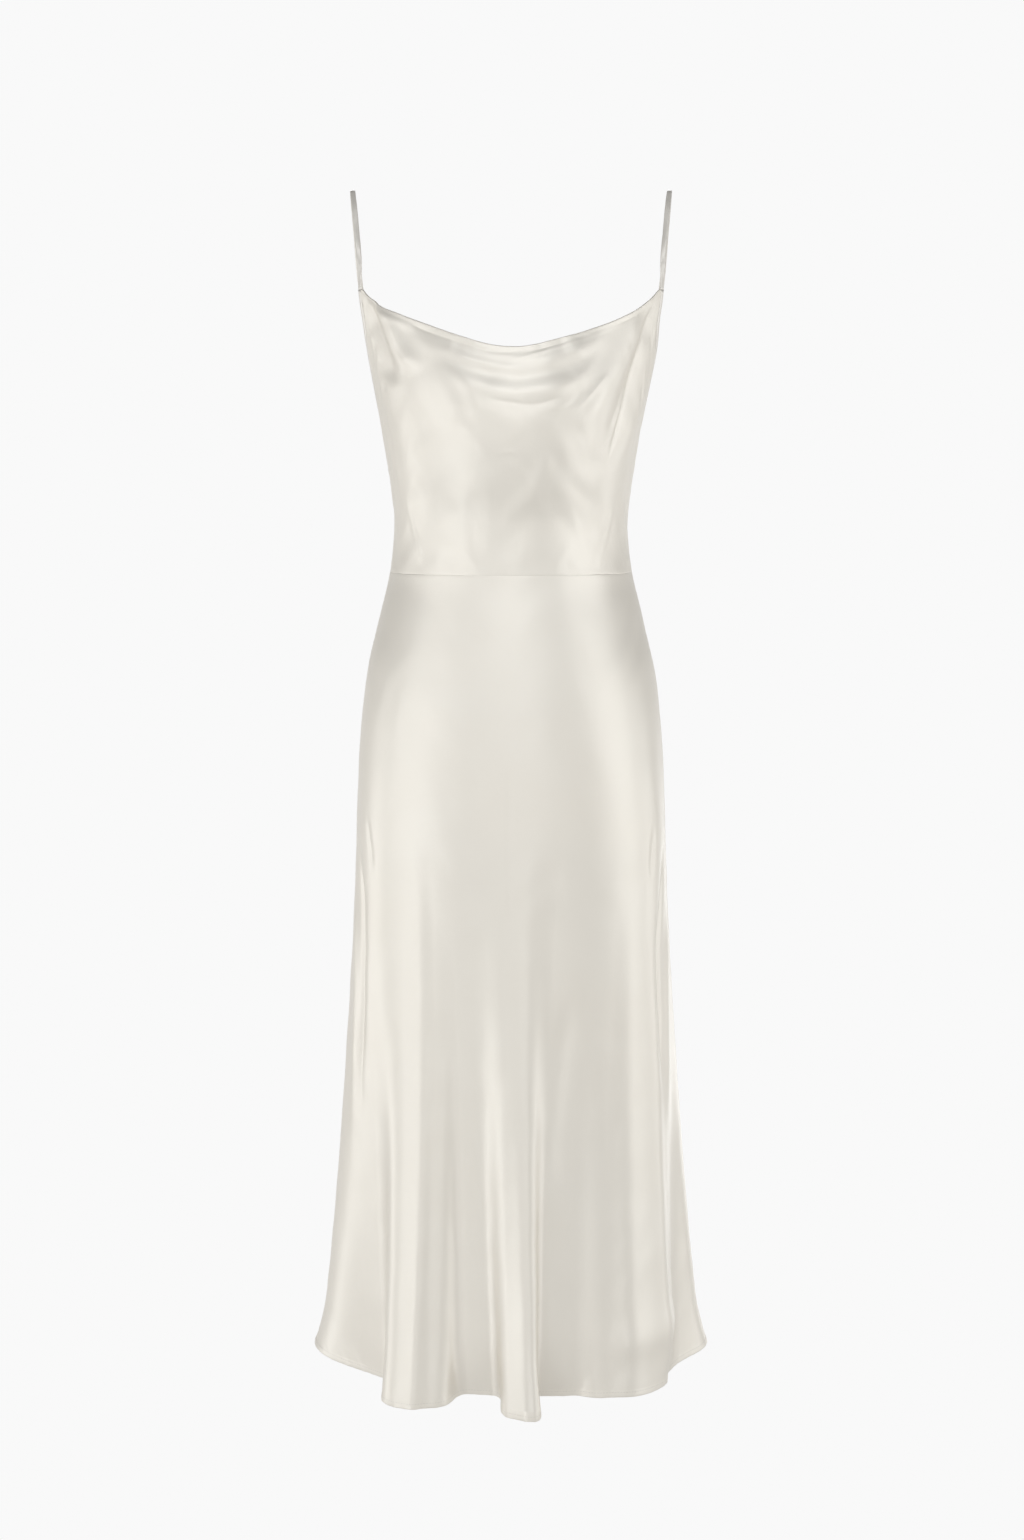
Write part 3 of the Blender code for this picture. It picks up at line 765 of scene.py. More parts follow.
FRONT_SKIRT_CREASES = (
    Crease(
        "right_thigh_trough", -0.0024, 0.0036,
        ((-75, 0.6650), (-69, 0.7310), (-67, 0.8320), (-68, 0.9150), (-68, 0.9950)), (0.2, 0.4), Profile.CRISP,
    ),
    Crease(
        "right_thigh_fold", 0.0020, 0.0060,
        ((-79, 0.7100), (-74, 0.8100), (-73, 0.9300), (-74, 1.0400)), (0.3, 0.4), widens=1.5,
    ),
    Crease("right_thigh_dent", -0.0012, 0.0036, ((-67, 0.6480), (-64, 0.6810), (-62, 0.7100))),
    Crease(
        "left_thigh_trough", -0.0024, 0.0036,
        ((75, 0.6700), (70, 0.7420), (66, 0.7900), (66, 0.8430), (67, 0.9750)), (0.2, 0.4), Profile.CRISP,
    ),
    Crease(
        "left_thigh_fold", 0.0020, 0.0060,
        ((80, 0.7150), (75, 0.8150), (73, 0.9300), (74, 1.0300)), (0.3, 0.4), widens=1.5,
    ),
    Crease("left_thigh_dent", -0.0012, 0.0036, ((66, 0.6600), (64, 0.6910), (63, 0.7180))),
    Crease("centre_fold_sweep", -0.0012, 0.0120, ((30, 0.8200), (24, 0.9000), (19, 0.9800), (16, 1.0600))),
    Crease(
        "left_hem_bend", 0.0030, 0.0200,
        ((32, 1.2110), (42, 1.2050), (54, 1.2000), (68, 1.2000), (78, 1.2040)), (0.3, 0.25),
    ),
    Crease("centre_line", 0.0005, 0.0030, ((-1, 0.5700), (-1, 0.6600), (-1, 0.7700))),
)
BACK_SKIRT_CREASES = (
    Crease(
        "left_rear_thigh_trough", -0.0021, 0.0042,
        ((107, 0.6700), (110, 0.7500), (112, 0.8600), (112, 0.9800)), (0.2, 0.4), Profile.CRISP,
    ),
    Crease(
        "right_rear_thigh_trough", -0.0019, 0.0040,
        ((252, 0.6800), (249, 0.7700), (247, 0.8600), (248, 0.9600)), (0.2, 0.4), Profile.CRISP,
    ),
    Crease("seat_drag_left", -0.0012, 0.0050, ((146, 0.6700), (150, 0.7300), (151, 0.8100))),
    Crease("seat_drag_right", -0.0012, 0.0050, ((212, 0.6600), (208, 0.7200), (206, 0.8200))),
    Crease(
        "left_back_fall", 0.0014, 0.0060,
        ((160, 0.8600), (162, 0.9800), (162, 1.1000)), (0.3, 0.4), widens=1.6,
    ),
    Crease(
        "right_back_fall", 0.0014, 0.0060,
        ((219, 0.8800), (221, 1.0000), (221, 1.1200)), (0.3, 0.4), widens=1.6,
    ),
)


# ---------------------------------------------------------------- shader maths


class Value:
    """A node's output socket that adds, subtracts and multiplies as a number does."""

    def __init__(self, nodes: "Nodes", socket: bpy.types.NodeSocket) -> None:
        """Wraps one output socket of a node tree."""
        self.nodes = nodes
        self.socket = socket

    def __add__(self, other: "Value | float") -> "Value":
        """The sum."""
        return self.nodes.maths("ADD", self, other)

    def __sub__(self, other: "Value | float") -> "Value":
        """The difference."""
        return self.nodes.maths("SUBTRACT", self, other)

    def __rsub__(self, other: float) -> "Value":
        """A number less this."""
        return self.nodes.maths("SUBTRACT", other, self)

    def __mul__(self, other: "Value | float") -> "Value":
        """The product."""
        return self.nodes.maths("MULTIPLY", self, other)

    __radd__ = __add__
    __rmul__ = __mul__


class Nodes:
    """A node tree that is written as expressions."""

    def __init__(self, tree: bpy.types.NodeTree) -> None:
        """Takes the tree that nodes are added to."""
        self.tree = tree

    def node(
        self, kind: str, settings: dict | None = None, sockets: dict | None = None, output: int | str = 0
    ) -> Value:
        """Adds a node.

        Args:
            kind: the node's type.
            settings: its own properties, set first.
            sockets: values or links by the name or number of the input.
            output: the output to give back.

        Returns:
            The chosen output.
        """
        made = self.tree.nodes.new(kind)
        for key, value in (settings or {}).items():
            setattr(made, key, value)
        for key, value in (sockets or {}).items():
            self.feed(made.inputs[key], value)
        return Value(self, made.outputs[output])

    def feed(self, socket: bpy.types.NodeSocket, value: "Value | float | Sequence[float]") -> None:
        """Links a value to a socket, or sets the socket's own number.

        Args:
            socket: the input.
            value: an output to link, or a number or colour to set.
        """
        if isinstance(value, Value):
            self.tree.links.new(value.socket, socket)
        else:
            socket.default_value = value

    def maths(self, operation: str, first: "Value | float", second: "Value | float") -> Value:
        """One Math node on two values."""
        return self.node("ShaderNodeMath", {"operation": operation}, {0: first, 1: second})

    def step(self, value: Value, start: float, end: float) -> Value:
        """0 where a value is at start or short of it, 1 at end or past it, and smooth between them."""
        sockets = {0: value, 1: start, 2: end, 3: 0.0, 4: 1.0}
        return self.node("ShaderNodeMapRange", {"interpolation_type": "SMOOTHSTEP"}, sockets)

    def mix_colour(
        self, share: "Value | float", first: "Value | Sequence[float]", second: "Value | Sequence[float]"
    ) -> Value:
        """The first colour where share is 0 and the second where it is 1."""
        return self.node("ShaderNodeMix", {"data_type": "RGBA"}, {0: share, 6: first, 7: second}, 2)


class Shader(Nodes):
    """A material's node tree, with its Principled node."""

    def __init__(self, name: str) -> None:
        """Makes a material and finds its nodes.

        Args:
            name: the material's name.
        """
        self.material = bpy.data.materials.new(name)
        self.material.use_nodes = True
        super().__init__(self.material.node_tree)
        self.surface = self.tree.nodes["Principled BSDF"]

    def place(self, output: str) -> Value:
        """The coordinates of each point of the surface, from the piece's UV map or its Object space."""
        return self.node("ShaderNodeTexCoord", output=output)

    def noise(self, place: Value, scale: float, detail: float = 2.0, roughness: float = 0.5) -> Value:
        """A noise between 0 and 1 at a place."""
        sockets = {"Vector": place, "Scale": scale, "Detail": detail, "Roughness": roughness}
        return self.node("ShaderNodeTexNoise", {}, sockets)

    def scaled(self, place: Value, turn: float, scale: Sequence[float]) -> Value:
        """A place turned about the sheet's normal and then stretched, as coordinates for a pattern.

        Args:
            place: coordinates on the sheet.
            turn: the turn, in radians.
            scale: how much to stretch each coordinate.

        Returns:
            The new coordinates.
        """
        sockets = {"Vector": place, "Rotation": (0.0, 0.0, turn)}
        turned = self.node("ShaderNodeMapping", {"vector_type": "POINT"}, sockets)
        return self.node("ShaderNodeVectorMath", {"operation": "MULTIPLY"}, {0: turned, 1: tuple(scale)})

    def bump(self, height: Value, distance: float, strength: float = 1.0, **under: Value) -> Value:
        """A normal pushed about by a height, over the Normal under it if one is given."""
        sockets = {"Strength": strength, "Distance": distance, "Height": height, **under}
        return self.node("ShaderNodeBump", {}, sockets)

    def set(self, **numbers: float | Sequence[float]) -> None:
        """Sets sockets of the Principled node that are the same all over, by name with _ for spaces."""
        for key, value in numbers.items():
            self.surface.inputs[key.replace("_", " ")].default_value = value

    def use(self, name: str, value: Value) -> None:
        """Feeds one socket of the Principled node."""
        self.feed(self.surface.inputs[name], value)


def opaque(tone: Sequence[float], share: float = 1.0) -> tuple[float, ...]:
    """A share of a tone, as a colour with an alpha of 1."""
    return (*(share * channel for channel in tone), 1.0)


# ---------------------------------------------------------------- finishes


@dataclass(frozen=True)
class Satin:
    """Satin cut on the bias: a tone that drifts, long floats of thread at 45 degrees, and a soft gloss.

    The threads are read from the piece's UV map, which is in metres of cloth. Scales are in waves to
    the metre, and lengths and depths in metres.
    """

    name: str
    tone: Tone = (0.800, 0.762, 0.694)
    drift: Tone = (0.790, 0.741, 0.662)
    cloud_scale: float = 7.0
    cloud_rough: float = 0.04
    slub_scale: Tone = (90.0, 1400.0, 1.0)
    slub_rough: float = 0.05
    slub_share: float = 0.10
    slub_dark: float = 0.93
    roughness: float = 0.47
    metallic: float = 0.42
    anisotropic: float = 0.50
    coat: float = 0.10
    sheen: float = 0.20
    bias: float = math.pi / 4
    thread_pitch: float = 0.00022
    float_length: float = 0.0016
    thread_depth: float = 0.000012
    crumple_scale: float = 130.0
    crumple_depth: float = 0.00010

    def make(self) -> bpy.types.Material:
        """Builds the material: the drifting tone, slubs along the threads, the gloss and the weave.

        Returns:
            The material.
        """
        shader = Shader(self.name)
        sheet, body = shader.place("UV"), shader.place("Object")
        cloud = shader.noise(body, self.cloud_scale, detail=3.0, roughness=0.55)
        slub = shader.noise(shader.scaled(sheet, self.bias, self.slub_scale), 1.0)
        tone = shader.mix_colour(cloud, opaque(self.tone), opaque(self.drift))
        shader.use("Base Color", shader.mix_colour(slub * self.slub_share, tone, opaque(self.tone, self.slub_dark)))
        smoothest = self.roughness - (self.slub_rough + self.cloud_rough) / 2
        shader.use("Roughness", slub * self.slub_rough + cloud * self.cloud_rough + smoothest)
        shader.set(
            Metallic=self.metallic,
            Anisotropic=self.anisotropic,
            Anisotropic_Rotation=0.25,
            Coat_Weight=self.coat,
            Coat_Roughness=0.28,
            Sheen_Weight=self.sheen,
            Sheen_Roughness=0.45,
            Sheen_Tint=(1.0, 0.98, 0.94, 1.0),
        )
        shader.use("Normal", self.relief(shader, sheet))
        return shader.material

    def relief(self, shader: Shader, sheet: Value) -> Value:
        """The normal of the weave over a faint crumple.

        The weave is a noise drawn out along the floats and pinched across them to one thread, so that
        neighbouring floats start and stop at different places, as in a satin.

        Args:
            shader: the material's nodes.
            sheet: the UV coordinates.

        Returns:
            The bumped normal.
        """
        floats = shader.scaled(sheet, self.bias, (1 / self.float_length, 1 / self.thread_pitch, 1.0))
        weave = shader.noise(floats, 1.0, detail=1.0)
        crumple = shader.noise(sheet, self.crumple_scale, detail=3.0, roughness=0.55)
        return shader.bump(weave, self.thread_depth, Normal=shader.bump(crumple, self.crumple_depth))


@dataclass(frozen=True)
class Thread:
    """Sewing thread: two plies twisted together, a shade greyer than the satin."""

    name: str
    tone: Tone = (0.70, 0.66, 0.60)
    dark: float = 0.82
    twist: float = 0.00045
    bands: float = 0.3
    depth: float = 0.00008

    def make(self) -> bpy.types.Material:
        """Builds the material, with the plies as bands across the stitch's UV length.

        Returns:
            The material.
        """
        shader = Shader(self.name)
        settings = {"wave_type": "BANDS", "bands_direction": "DIAGONAL"}
        sockets = {"Vector": shader.place("UV"), "Scale": self.bands / self.twist}
        plies = shader.node("ShaderNodeTexWave", settings, sockets)
        shader.use("Base Color", shader.mix_colour(plies, opaque(self.tone, self.dark), opaque(self.tone)))
        shader.set(Roughness=0.5, Sheen_Weight=0.2)
        shader.use("Normal", shader.bump(plies, self.depth, strength=0.6))
        return shader.material


@dataclass(frozen=True)
class StudioWhite:
    """A pale studio floor that glows a little, so that it runs into the background."""

    name: str = "studio_floor"
    tone: Tone = (0.60, 0.60, 0.60)
    mottle: float = 0.98
    mottle_scale: float = 3.0
    glow: float = 0.53

    def make(self) -> bpy.types.Material:
        """Builds the material, with a faint mottle of its own.

        Returns:
            The material.
        """
        shader = Shader(self.name)
        mottle = shader.noise(shader.place("Object"), self.mottle_scale)
        shader.use("Base Color", shader.mix_colour(mottle, opaque(self.tone), opaque(self.tone, self.mottle)))
        shader.set(Roughness=0.9, Emission_Color=(1.0, 1.0, 1.0, 1.0), Emission_Strength=self.glow)
        return shader.material


class Wardrobe:
    """The materials of the dress, each made once."""

    face = Satin("satin_face")
    wrong_side = Satin("satin_wrong_side", roughness=0.62, metallic=0.05, anisotropic=0.2, coat=0.0, sheen=0.35)
    trim = Satin(
        "satin_trim", tone=(0.765, 0.735, 0.685), drift=(0.75, 0.71, 0.65), roughness=0.42, crumple_depth=0.00005
    )
    thread = Thread("sewing_thread")

    def __init__(self) -> None:
        """Makes the materials."""
        self.face_material = self.face.make()
        self.wrong_material = self.wrong_side.make()
        self.trim_material = self.trim.make()
        self.thread_material = self.thread.make()


# ---------------------------------------------------------------- meshes


def grid_faces(rows: int, columns: int, closed_rows: bool = False, closed_columns: bool = False) -> Array:
    """The four-cornered faces of a grid of points that are numbered row by row.

    Args:
        rows: how many rows of points.
        columns: how many points in a row.
        closed_rows: whether the first row follows the last.
        closed_columns: whether a row's first point follows its last.

    Returns:
        Each face's corners, from its own point down the grid, along it and back up.
    """
    row, column = np.meshgrid(
        np.arange(rows if closed_rows else rows - 1),
        np.arange(columns if closed_columns else columns - 1),
        indexing="ij",
    )
    here, below = row * columns, (row + 1) % rows * columns
    following = (column + 1) % columns
    return np.stack([here + column, below + column, below + following, here + following], axis=-1)


def turned_over(faces: Array) -> Array:
    """The same faces wound the other way from the same first corners."""
    return faces[..., [0, 3, 2, 1]]


def add_piece(
    name: str,
    points: Array,
    faces: list[list[int]],
    uv: Array,
    materials: Sequence[bpy.types.Material],
    chosen: Sequence[int] | None = None,
) -> bpy.types.Object:
    """Puts points and faces into a mesh that rides on the dress's body.

    Args:
        name: the piece's name.
        points: its vertices, in a grid of any shape.
        faces: lists of vertex numbers, wound so that they face out.
        uv: the sheet coordinates of each vertex, in metres.
        materials: its finishes.
        chosen: which finish each face takes, or None for the first.

    Returns:
        The new object.
    """
    mesh = bpy.data.meshes.new(name)
    mesh.from_pydata(points.reshape(-1, 3).tolist(), [], faces)
    for material in materials:
        mesh.materials.append(material)
    if chosen is not None:
        mesh.polygons.foreach_set("material_index", np.asarray(chosen, np.int32))
    corners = np.zeros(len(mesh.loops), np.int32)
    mesh.loops.foreach_get("vertex_index", corners)
    sheet = uv.reshape(-1, 2)[corners].astype(np.float32)
    mesh.uv_layers.new(name="sheet").data.foreach_set("uv", sheet.ravel())
    mesh.shade_smooth()
    mesh.update()
    made = bpy.data.objects.new(name, mesh)
    bpy.context.scene.collection.objects.link(made)
    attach(made, BODY)
    return made


def report(piece: bpy.types.Object) -> None:
    """Logs one line on a finished piece."""
    triangles = sum(len(polygon.vertices) - 2 for polygon in piece.data.polygons)
    log.info("%s: %d triangles, %.3f x %.3f x %.3f m", piece.name, triangles, *piece.dimensions)


@dataclass
class Shell:
    """A closed wall of cloth over a grid of its outer face, rows down and columns round.

    Each column is a loop: down the outer face, round the lower edge on a half circle, up the inner face
    on every third row, and round the upper edge. The two side edges are closed flat.
    """

    outer: Array
    thickness: Array
    flat_side: float
    rim: int = 4
    inner_step: int = 3

    def inner(self) -> Array:
        """The inner face: the outer one less its normal times the thickness.

        Returns:
            A grid as large as the outer one, level with the side seams at its sides.
        """
        face = self.outer - grid_normals(self.outer) * self.thickness[..., None]
        face[:, [0, -1], 1] = self.flat_side
        return face

    def arc(self, start: Array, end: Array, away: Array) -> Array:
        """A half circle from one edge to the other: middle plus half times cosine plus bulge times sine.

        Args:
            start: the points of the first edge.
            end: those of the second.
            away: directions away from the cloth.

        Returns:
            The points between the two edges, one row to each step of the circle.
        """
        turn = np.linspace(0, math.pi, self.rim + 2)[1:-1, None, None]
        middle, half = (start + end) / 2, (start - end) / 2
        bulge = unit(away) * np.linalg.norm(half, axis=-1, keepdims=True)
        return middle + half * np.cos(turn) + bulge * np.sin(turn)

    def build(self, name: str, uv: Array, materials: Sequence[bpy.types.Material]) -> bpy.types.Object:
        """Makes the mesh.

        Args:
            name: the piece's name.
            uv: sheet coordinates of the outer grid.
            materials: the face's finish and the wrong side's.

        Returns:
            The new object.
        """
        rows, columns = self.outer.shape[:2]
        kept = np.unique(np.append(np.arange(0, rows, self.inner_step), rows - 1))
        inner = self.inner()
        bottom = self.arc(self.outer[-1], inner[-1], self.outer[-1] - self.outer[-2])
        top = self.arc(inner[0], self.outer[0], self.outer[0] - self.outer[1])
        loop = np.concatenate([self.outer, bottom, inner[kept[::-1]], top])
        rims = [np.repeat(edge, self.rim, 0) for edge in (uv[-1:], uv[:1])]
        sheet = np.concatenate([uv, rims[0], uv[kept[::-1]], rims[1]])
        quads = grid_faces(len(loop), columns, closed_rows=True)
        level = np.arange(len(loop))
        wrong = (level >= rows + self.rim) & (level < rows + self.rim + len(kept) - 1)
        faces, chosen = quads.reshape(-1, 4).tolist(), np.repeat(wrong, columns - 1).astype(int).tolist()
        for side in (0, columns - 1):
            ends = self.side_faces(rows, kept, len(loop), side, columns)
            faces += ends if side else [face[::-1] for face in ends]
            chosen += [1] * len(ends)
        return add_piece(name, loop, faces, sheet, materials, chosen)

    def side_faces(self, rows: int, kept: Array, count: int, side: int, columns: int) -> list[list[int]]:
        """Flat faces across the wall at one side edge, one to each kept inner row and one to each rim.

        Args:
            rows: how many rows the outer face has.
            kept: the rows that the inner face keeps.
            count: how many points go round each column's loop.
            side: the column of this edge.
            columns: how many columns there are.

        Returns:
            The faces' vertex numbers.
        """
        first_inner = rows + self.rim
        inner_level = {int(row): first_inner + len(kept) - 1 - place for place, row in enumerate(kept)}
        levels = [
            [*range(int(a), int(b) + 1), inner_level[int(b)], inner_level[int(a)]] for a, b in zip(kept, kept[1:])
        ]
        levels.append(list(range(rows - 1, first_inner + 1)))
        levels.append([*range(first_inner + len(kept) - 1, count), 0])
        return [[level * columns + side for level in face] for face in levels]


@dataclass
class Band:
    """A flat band carried along a line: a flattened ring at each station, with capped ends."""

    centres: Array
    sides: Array
    outs: Array
    half_width: Array
    half_thick: Array
    ring: Array

    def build(self, name: str, materials: Sequence[bpy.types.Material]) -> bpy.types.Object:
        """Makes the mesh: centre plus side times across plus out times up, for each point of the ring.

        Args:
            name: the piece's name.
            materials: its finishes.

        Returns:
            The new object, shaded smooth but for its flat ends.
        """
        across, up = self.ring[:, 0], self.ring[:, 1]
        points = (
            self.centres[:, None]
            + self.sides[:, None] * (across * self.half_width[:, None])[..., None]
            + self.outs[:, None] * (up * self.half_thick[:, None])[..., None]
        )
        stations, count = points.shape[:2]
        along = run_length(self.centres, 0)
        round_way = run_length(self.ring * (self.half_width.mean(), self.half_thick.mean()), 0)
        uv = np.stack(np.broadcast_arrays(along[:, None], round_way[None, :]), axis=-1)
        faces = turned_over(grid_faces(stations, count, closed_columns=True)).reshape(-1, 4).tolist()
        faces.append(list(range(count))[::-1])
        faces.append(list(range((stations - 1) * count, stations * count)))
        made = add_piece(name, points, faces, uv, materials)
        for cap in made.data.polygons[-2:]:
            cap.use_smooth = False
        return made


def rounded_ring(corner: float, points: int) -> Array:
    """A ring of width 2 and height 2 whose sides bulge: cosine and sine to a power.

    Args:
        corner: the power, 1 for a round ring and less for a squarer one.
        points: how many points to give.

    Returns:
        The points across and up, walked clockwise from the top.
    """
    turn = np.linspace(0, 2 * math.pi, points, endpoint=False)
    across, up = np.sin(turn), np.cos(turn)
    return np.stack([np.sign(across) * np.abs(across) ** corner, np.sign(up) * np.abs(up) ** corner], axis=-1)


@dataclass
class StitchRow:
    """A row of machine stitches along a line on the cloth: each one a short arched capsule."""

    name: str
    line: Array
    outs: Array
    length: float = 0.0024
    pitch: float = 0.0031
    radius: float = 0.00022
    lift: float = 0.00012
    arch: float = 2.2
    taper: float = 0.96
    stations: tuple[float, ...] = (-1.0, -0.82, 0.0, 0.82, 1.0)
    ring: int = 5

    def build(self, material: bpy.types.Material) -> bpy.types.Object:
        """Makes the stitches at equal steps along the line.

        A stitch's middle stands lift above the cloth, its height falls as arch times the square of the
        way to either end, and its girth closes in with the sixth power of that way.

        Args:
            material: the thread.

        Returns:
            The new object.
        """
        along = run_length(self.line, 0)
        share = np.array(self.stations)
        at = np.arange(self.length, along[-1] - self.length, self.pitch)
        places = at[:, None] + share * self.length / 2
        centre = np.stack([np.interp(places, along, column) for column in self.line.T], axis=-1)
        out = unit(np.stack([np.interp(places, along, column) for column in self.outs.T], axis=-1))
        side = unit(np.cross(out, unit(centre[:, -1:] - centre[:, :1])))
        centre = centre + out * (self.lift * (1 - self.arch * share**2))[:, None]
        girth = self.radius * np.sqrt(1 - self.taper * share**6)
        turn = np.linspace(0, 2 * math.pi, self.ring, endpoint=False)
        points = (
            centre[:, :, None]
            + side[:, :, None] * (np.cos(turn) * girth[:, None])[..., None]
            + out[:, :, None] * (np.sin(turn) * girth[:, None])[..., None]
        )
        stitches, stations = points.shape[:2]
        first = np.arange(stitches)[:, None] * stations * self.ring
        quads = np.roll(grid_faces(stations, self.ring, closed_columns=True).reshape(-1, 4), -1, axis=-1)
        ends = np.arange(self.ring)
        faces = (first[..., None] + quads).reshape(-1, 4).tolist()
        faces += (first + ends).tolist()
        faces += (first + (stations - 1) * self.ring + ends)[:, ::-1].tolist()
        uv = np.stack(np.broadcast_arrays(places[:, :, None], turn * self.radius), axis=-1)
        return add_piece(self.name, points, faces, uv, [material])


# ---------------------------------------------------------------- the panels


def fine_rows(length: float, near_top: float, near_bottom: float, fine: float, coarse: float) -> Array:
    """Shares of a length, close together near both ends and wider apart between them.

    Args:
        length: the whole length.
        near_top: how far the close steps reach from its start.
        near_bottom: how far they reach from its end.
        fine: the close step.
        coarse: the wide step.

    Returns:
        Rising shares from 0 to 1.
    """
    top = np.arange(0, near_top, fine)
    bottom = length - np.arange(0, near_bottom, fine)[::-1]
    room = length - near_top - near_bottom
    middle = np.linspace(near_top, length - near_bottom, max(2, round(room / coarse)))
    return np.unique(np.round(np.concatenate([top, middle, bottom]) / length, 7))


@dataclass(kw_only=True)
class Panel:
    """A cut piece of satin between its seams and edges, on a grid of angles and drops.

    Its flat size is that of the cloth that it was cut from. A front panel's side seams stand half a
    seam gap in front of the middle of the dress, and a back panel's as far behind it.
    """

    node: str
    form: DressForm
    wardrobe: Wardrobe
    creases: tuple[Crease, ...]
    rumples: tuple[Rumple, ...]
    flat: tuple[float, float]
    seed: int
    wall: float = 0.0008
    seam_depth: float = 0.0007
    seam_width: float = 0.0016
    puckers: EdgeWaves = EdgeWaves(0.00022, 0.0085, 0.010)
    waist_seam: float = 0.18
    side_seam: float = 0.55
    fine: float = 0.0009
    near_seam: float = 0.006
    outer: Array = field(init=False, repr=False)
    measured: dict[str, Array] = field(init=False, repr=False)
    piece: bpy.types.Object = field(init=False, repr=False)

    def grid(self) -> tuple[Array, Array]:
        """The angles and drops of the panel's grid."""
        raise NotImplementedError

    def own_relief(self, measured: dict[str, Array]) -> tuple[Array, Array]:
        """The outward shift and the thickness that this kind of panel adds at its own edges."""
        raise NotImplementedError

    def seam(self, distance: Array, along: Array, seed: int, strength: float) -> Array:
        """A sewn edge: a groove at the seam, and uneven puckers that die out away from it.

        Args:
            distance: metres of cloth from the seam.
            along: metres along it.
            seed: the start of its puckers.
            strength: the share of its full depth.

        Returns:
            The outward shift.
        """
        groove = -self.seam_depth * bell(distance, self.seam_width)
        puckers = self.puckers.shift(along, distance, seed)
        return strength * (groove + puckers * ease(distance / (2 * self.seam_width)))

    def build(self) -> bpy.types.Object:
        """Makes the panel.

        The cloth is the form's own surface, pushed out along its normal by the creases, the rumples,
        the seams at both sides and what the panel's upper and lower edges add.

        Returns:
            The finished piece, which stands for its node.
        """
        angle, drop = self.grid()
        base = self.form.point(angle, drop)
        across, down = run_length(base, 1), run_length(base, 0)
        self.measured = {
            "across": across - across[:, [across.shape[1] // 2]],
            "left": across,
            "right": across[:, -1:] - across,
            "top": down,
            "bottom": down[-1:] - down,
        }
        shift = Creases(self.form, self.creases).shift(angle, drop)
        for rumple in self.rumples:
            shift += rumple.shift(self.measured["across"], drop)
        for offset, side in enumerate(("left", "right")):
            shift += self.seam(self.measured[side], down, self.seed + offset, self.side_seam)
        own_shift, thickness = self.own_relief(self.measured)
        gap = self.form.seam_gap / 2 * (-1 if np.abs(angle).max() <= LEFT_SEAM else 1)
        outer = base + grid_normals(base) * (shift + own_shift)[..., None]
        outer[..., 1] += gap
        outer[:, [0, -1], 1] = gap
        self.outer = outer
        uv = np.stack([self.measured["across"], down], axis=-1)
        finishes = [self.wardrobe.face_material, self.wardrobe.wrong_material]
        self.piece = Shell(outer, thickness, gap).build(f"{self.node}_satin", uv, finishes)
        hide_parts(self.node)
        report(self.piece)
        log.info("%s: %.4f square metres of cloth", self.piece.name, self.area())
        return self.piece

    def area(self) -> float:
        """The area of the outer face: half the cross product's length for both triangles of each cell.

        Returns:
            Square metres.
        """
        a, b, c, d = self.outer[:-1, :-1], self.outer[1:, :-1], self.outer[1:, 1:], self.outer[:-1, 1:]
        halves = np.cross(b - a, c - a), np.cross(c - a, d - a)
        return float(sum(np.linalg.norm(half, axis=-1).sum() / 2 for half in halves))

    def declare(self, trims: list[bpy.types.Object]) -> None:
        round(self.area(), 4)


@dataclass(kw_only=True)
class Bodice(Panel):
    """A bodice panel from its upper edge to the waist seam.

    Its upper edge is a rolled neck between the two neck angles, where it has one, and is pressed flat
    for its binding everywhere else.
    """

    path: Path
    height: float
    waist_angles: tuple[float, float] = (RIGHT_SEAM, LEFT_SEAM)
    neck: tuple[float, float] = (math.inf, math.inf)
    neck_blend: float = 2.0
    neck_thickness: float = 0.0019
    neck_rise: float = 0.0006
    edge_thickness: float = 0.0012
    edge_press: float = 0.0004
    edge_reach: float = 0.0030
    edge_waves: EdgeWaves = EdgeWaves(0.00016, 0.012, 0.008)
    coarse: float = 0.0017

    def grid(self) -> tuple[Array, Array]:
        """Columns run straight from the upper edge to evenly spaced angles at the waist.

        Returns:
            The grid's angles and drops.
        """
        share = fine_rows(self.height, self.near_seam, self.near_seam, self.fine, self.coarse)[:, None]
        angles, drops = self.path
        waist = np.linspace(*self.waist_angles, len(angles))
        bottom = self.form.waist_drop - self.form.seam_gap / 2
        return angles + (waist - angles) * share, drops + (bottom - drops) * share

    def own_relief(self, measured: dict[str, Array]) -> tuple[Array, Array]:
        """A sewn waist below, and above it a rolled neck edge or an edge pressed flat for its binding.

        Args:
            measured: distances along the cloth from the panel's middle and from each of its edges.

        Returns:
            The outward shift and the thickness, both bells of the distance from the upper edge.
        """
        across, below_edge, angle = measured["across"], measured["top"], self.path[0][None, :]
        start, end = self.neck
        is_neck = ease((angle - start) / self.neck_blend + 0.5) * ease((end - angle) / self.neck_blend + 0.5)
        roll = bell(below_edge, self.edge_reach)
        shift = self.seam(measured["bottom"], across, self.seed + 2, self.waist_seam)
        shift = shift + is_neck * self.neck_rise * roll - (1 - is_neck) * self.edge_press * roll
        shift = shift + self.edge_waves.shift(across, below_edge, self.seed + 3)
        edge = self.edge_thickness + (self.neck_thickness - self.edge_thickness) * is_neck
        return shift, self.wall + (edge - self.wall) * roll


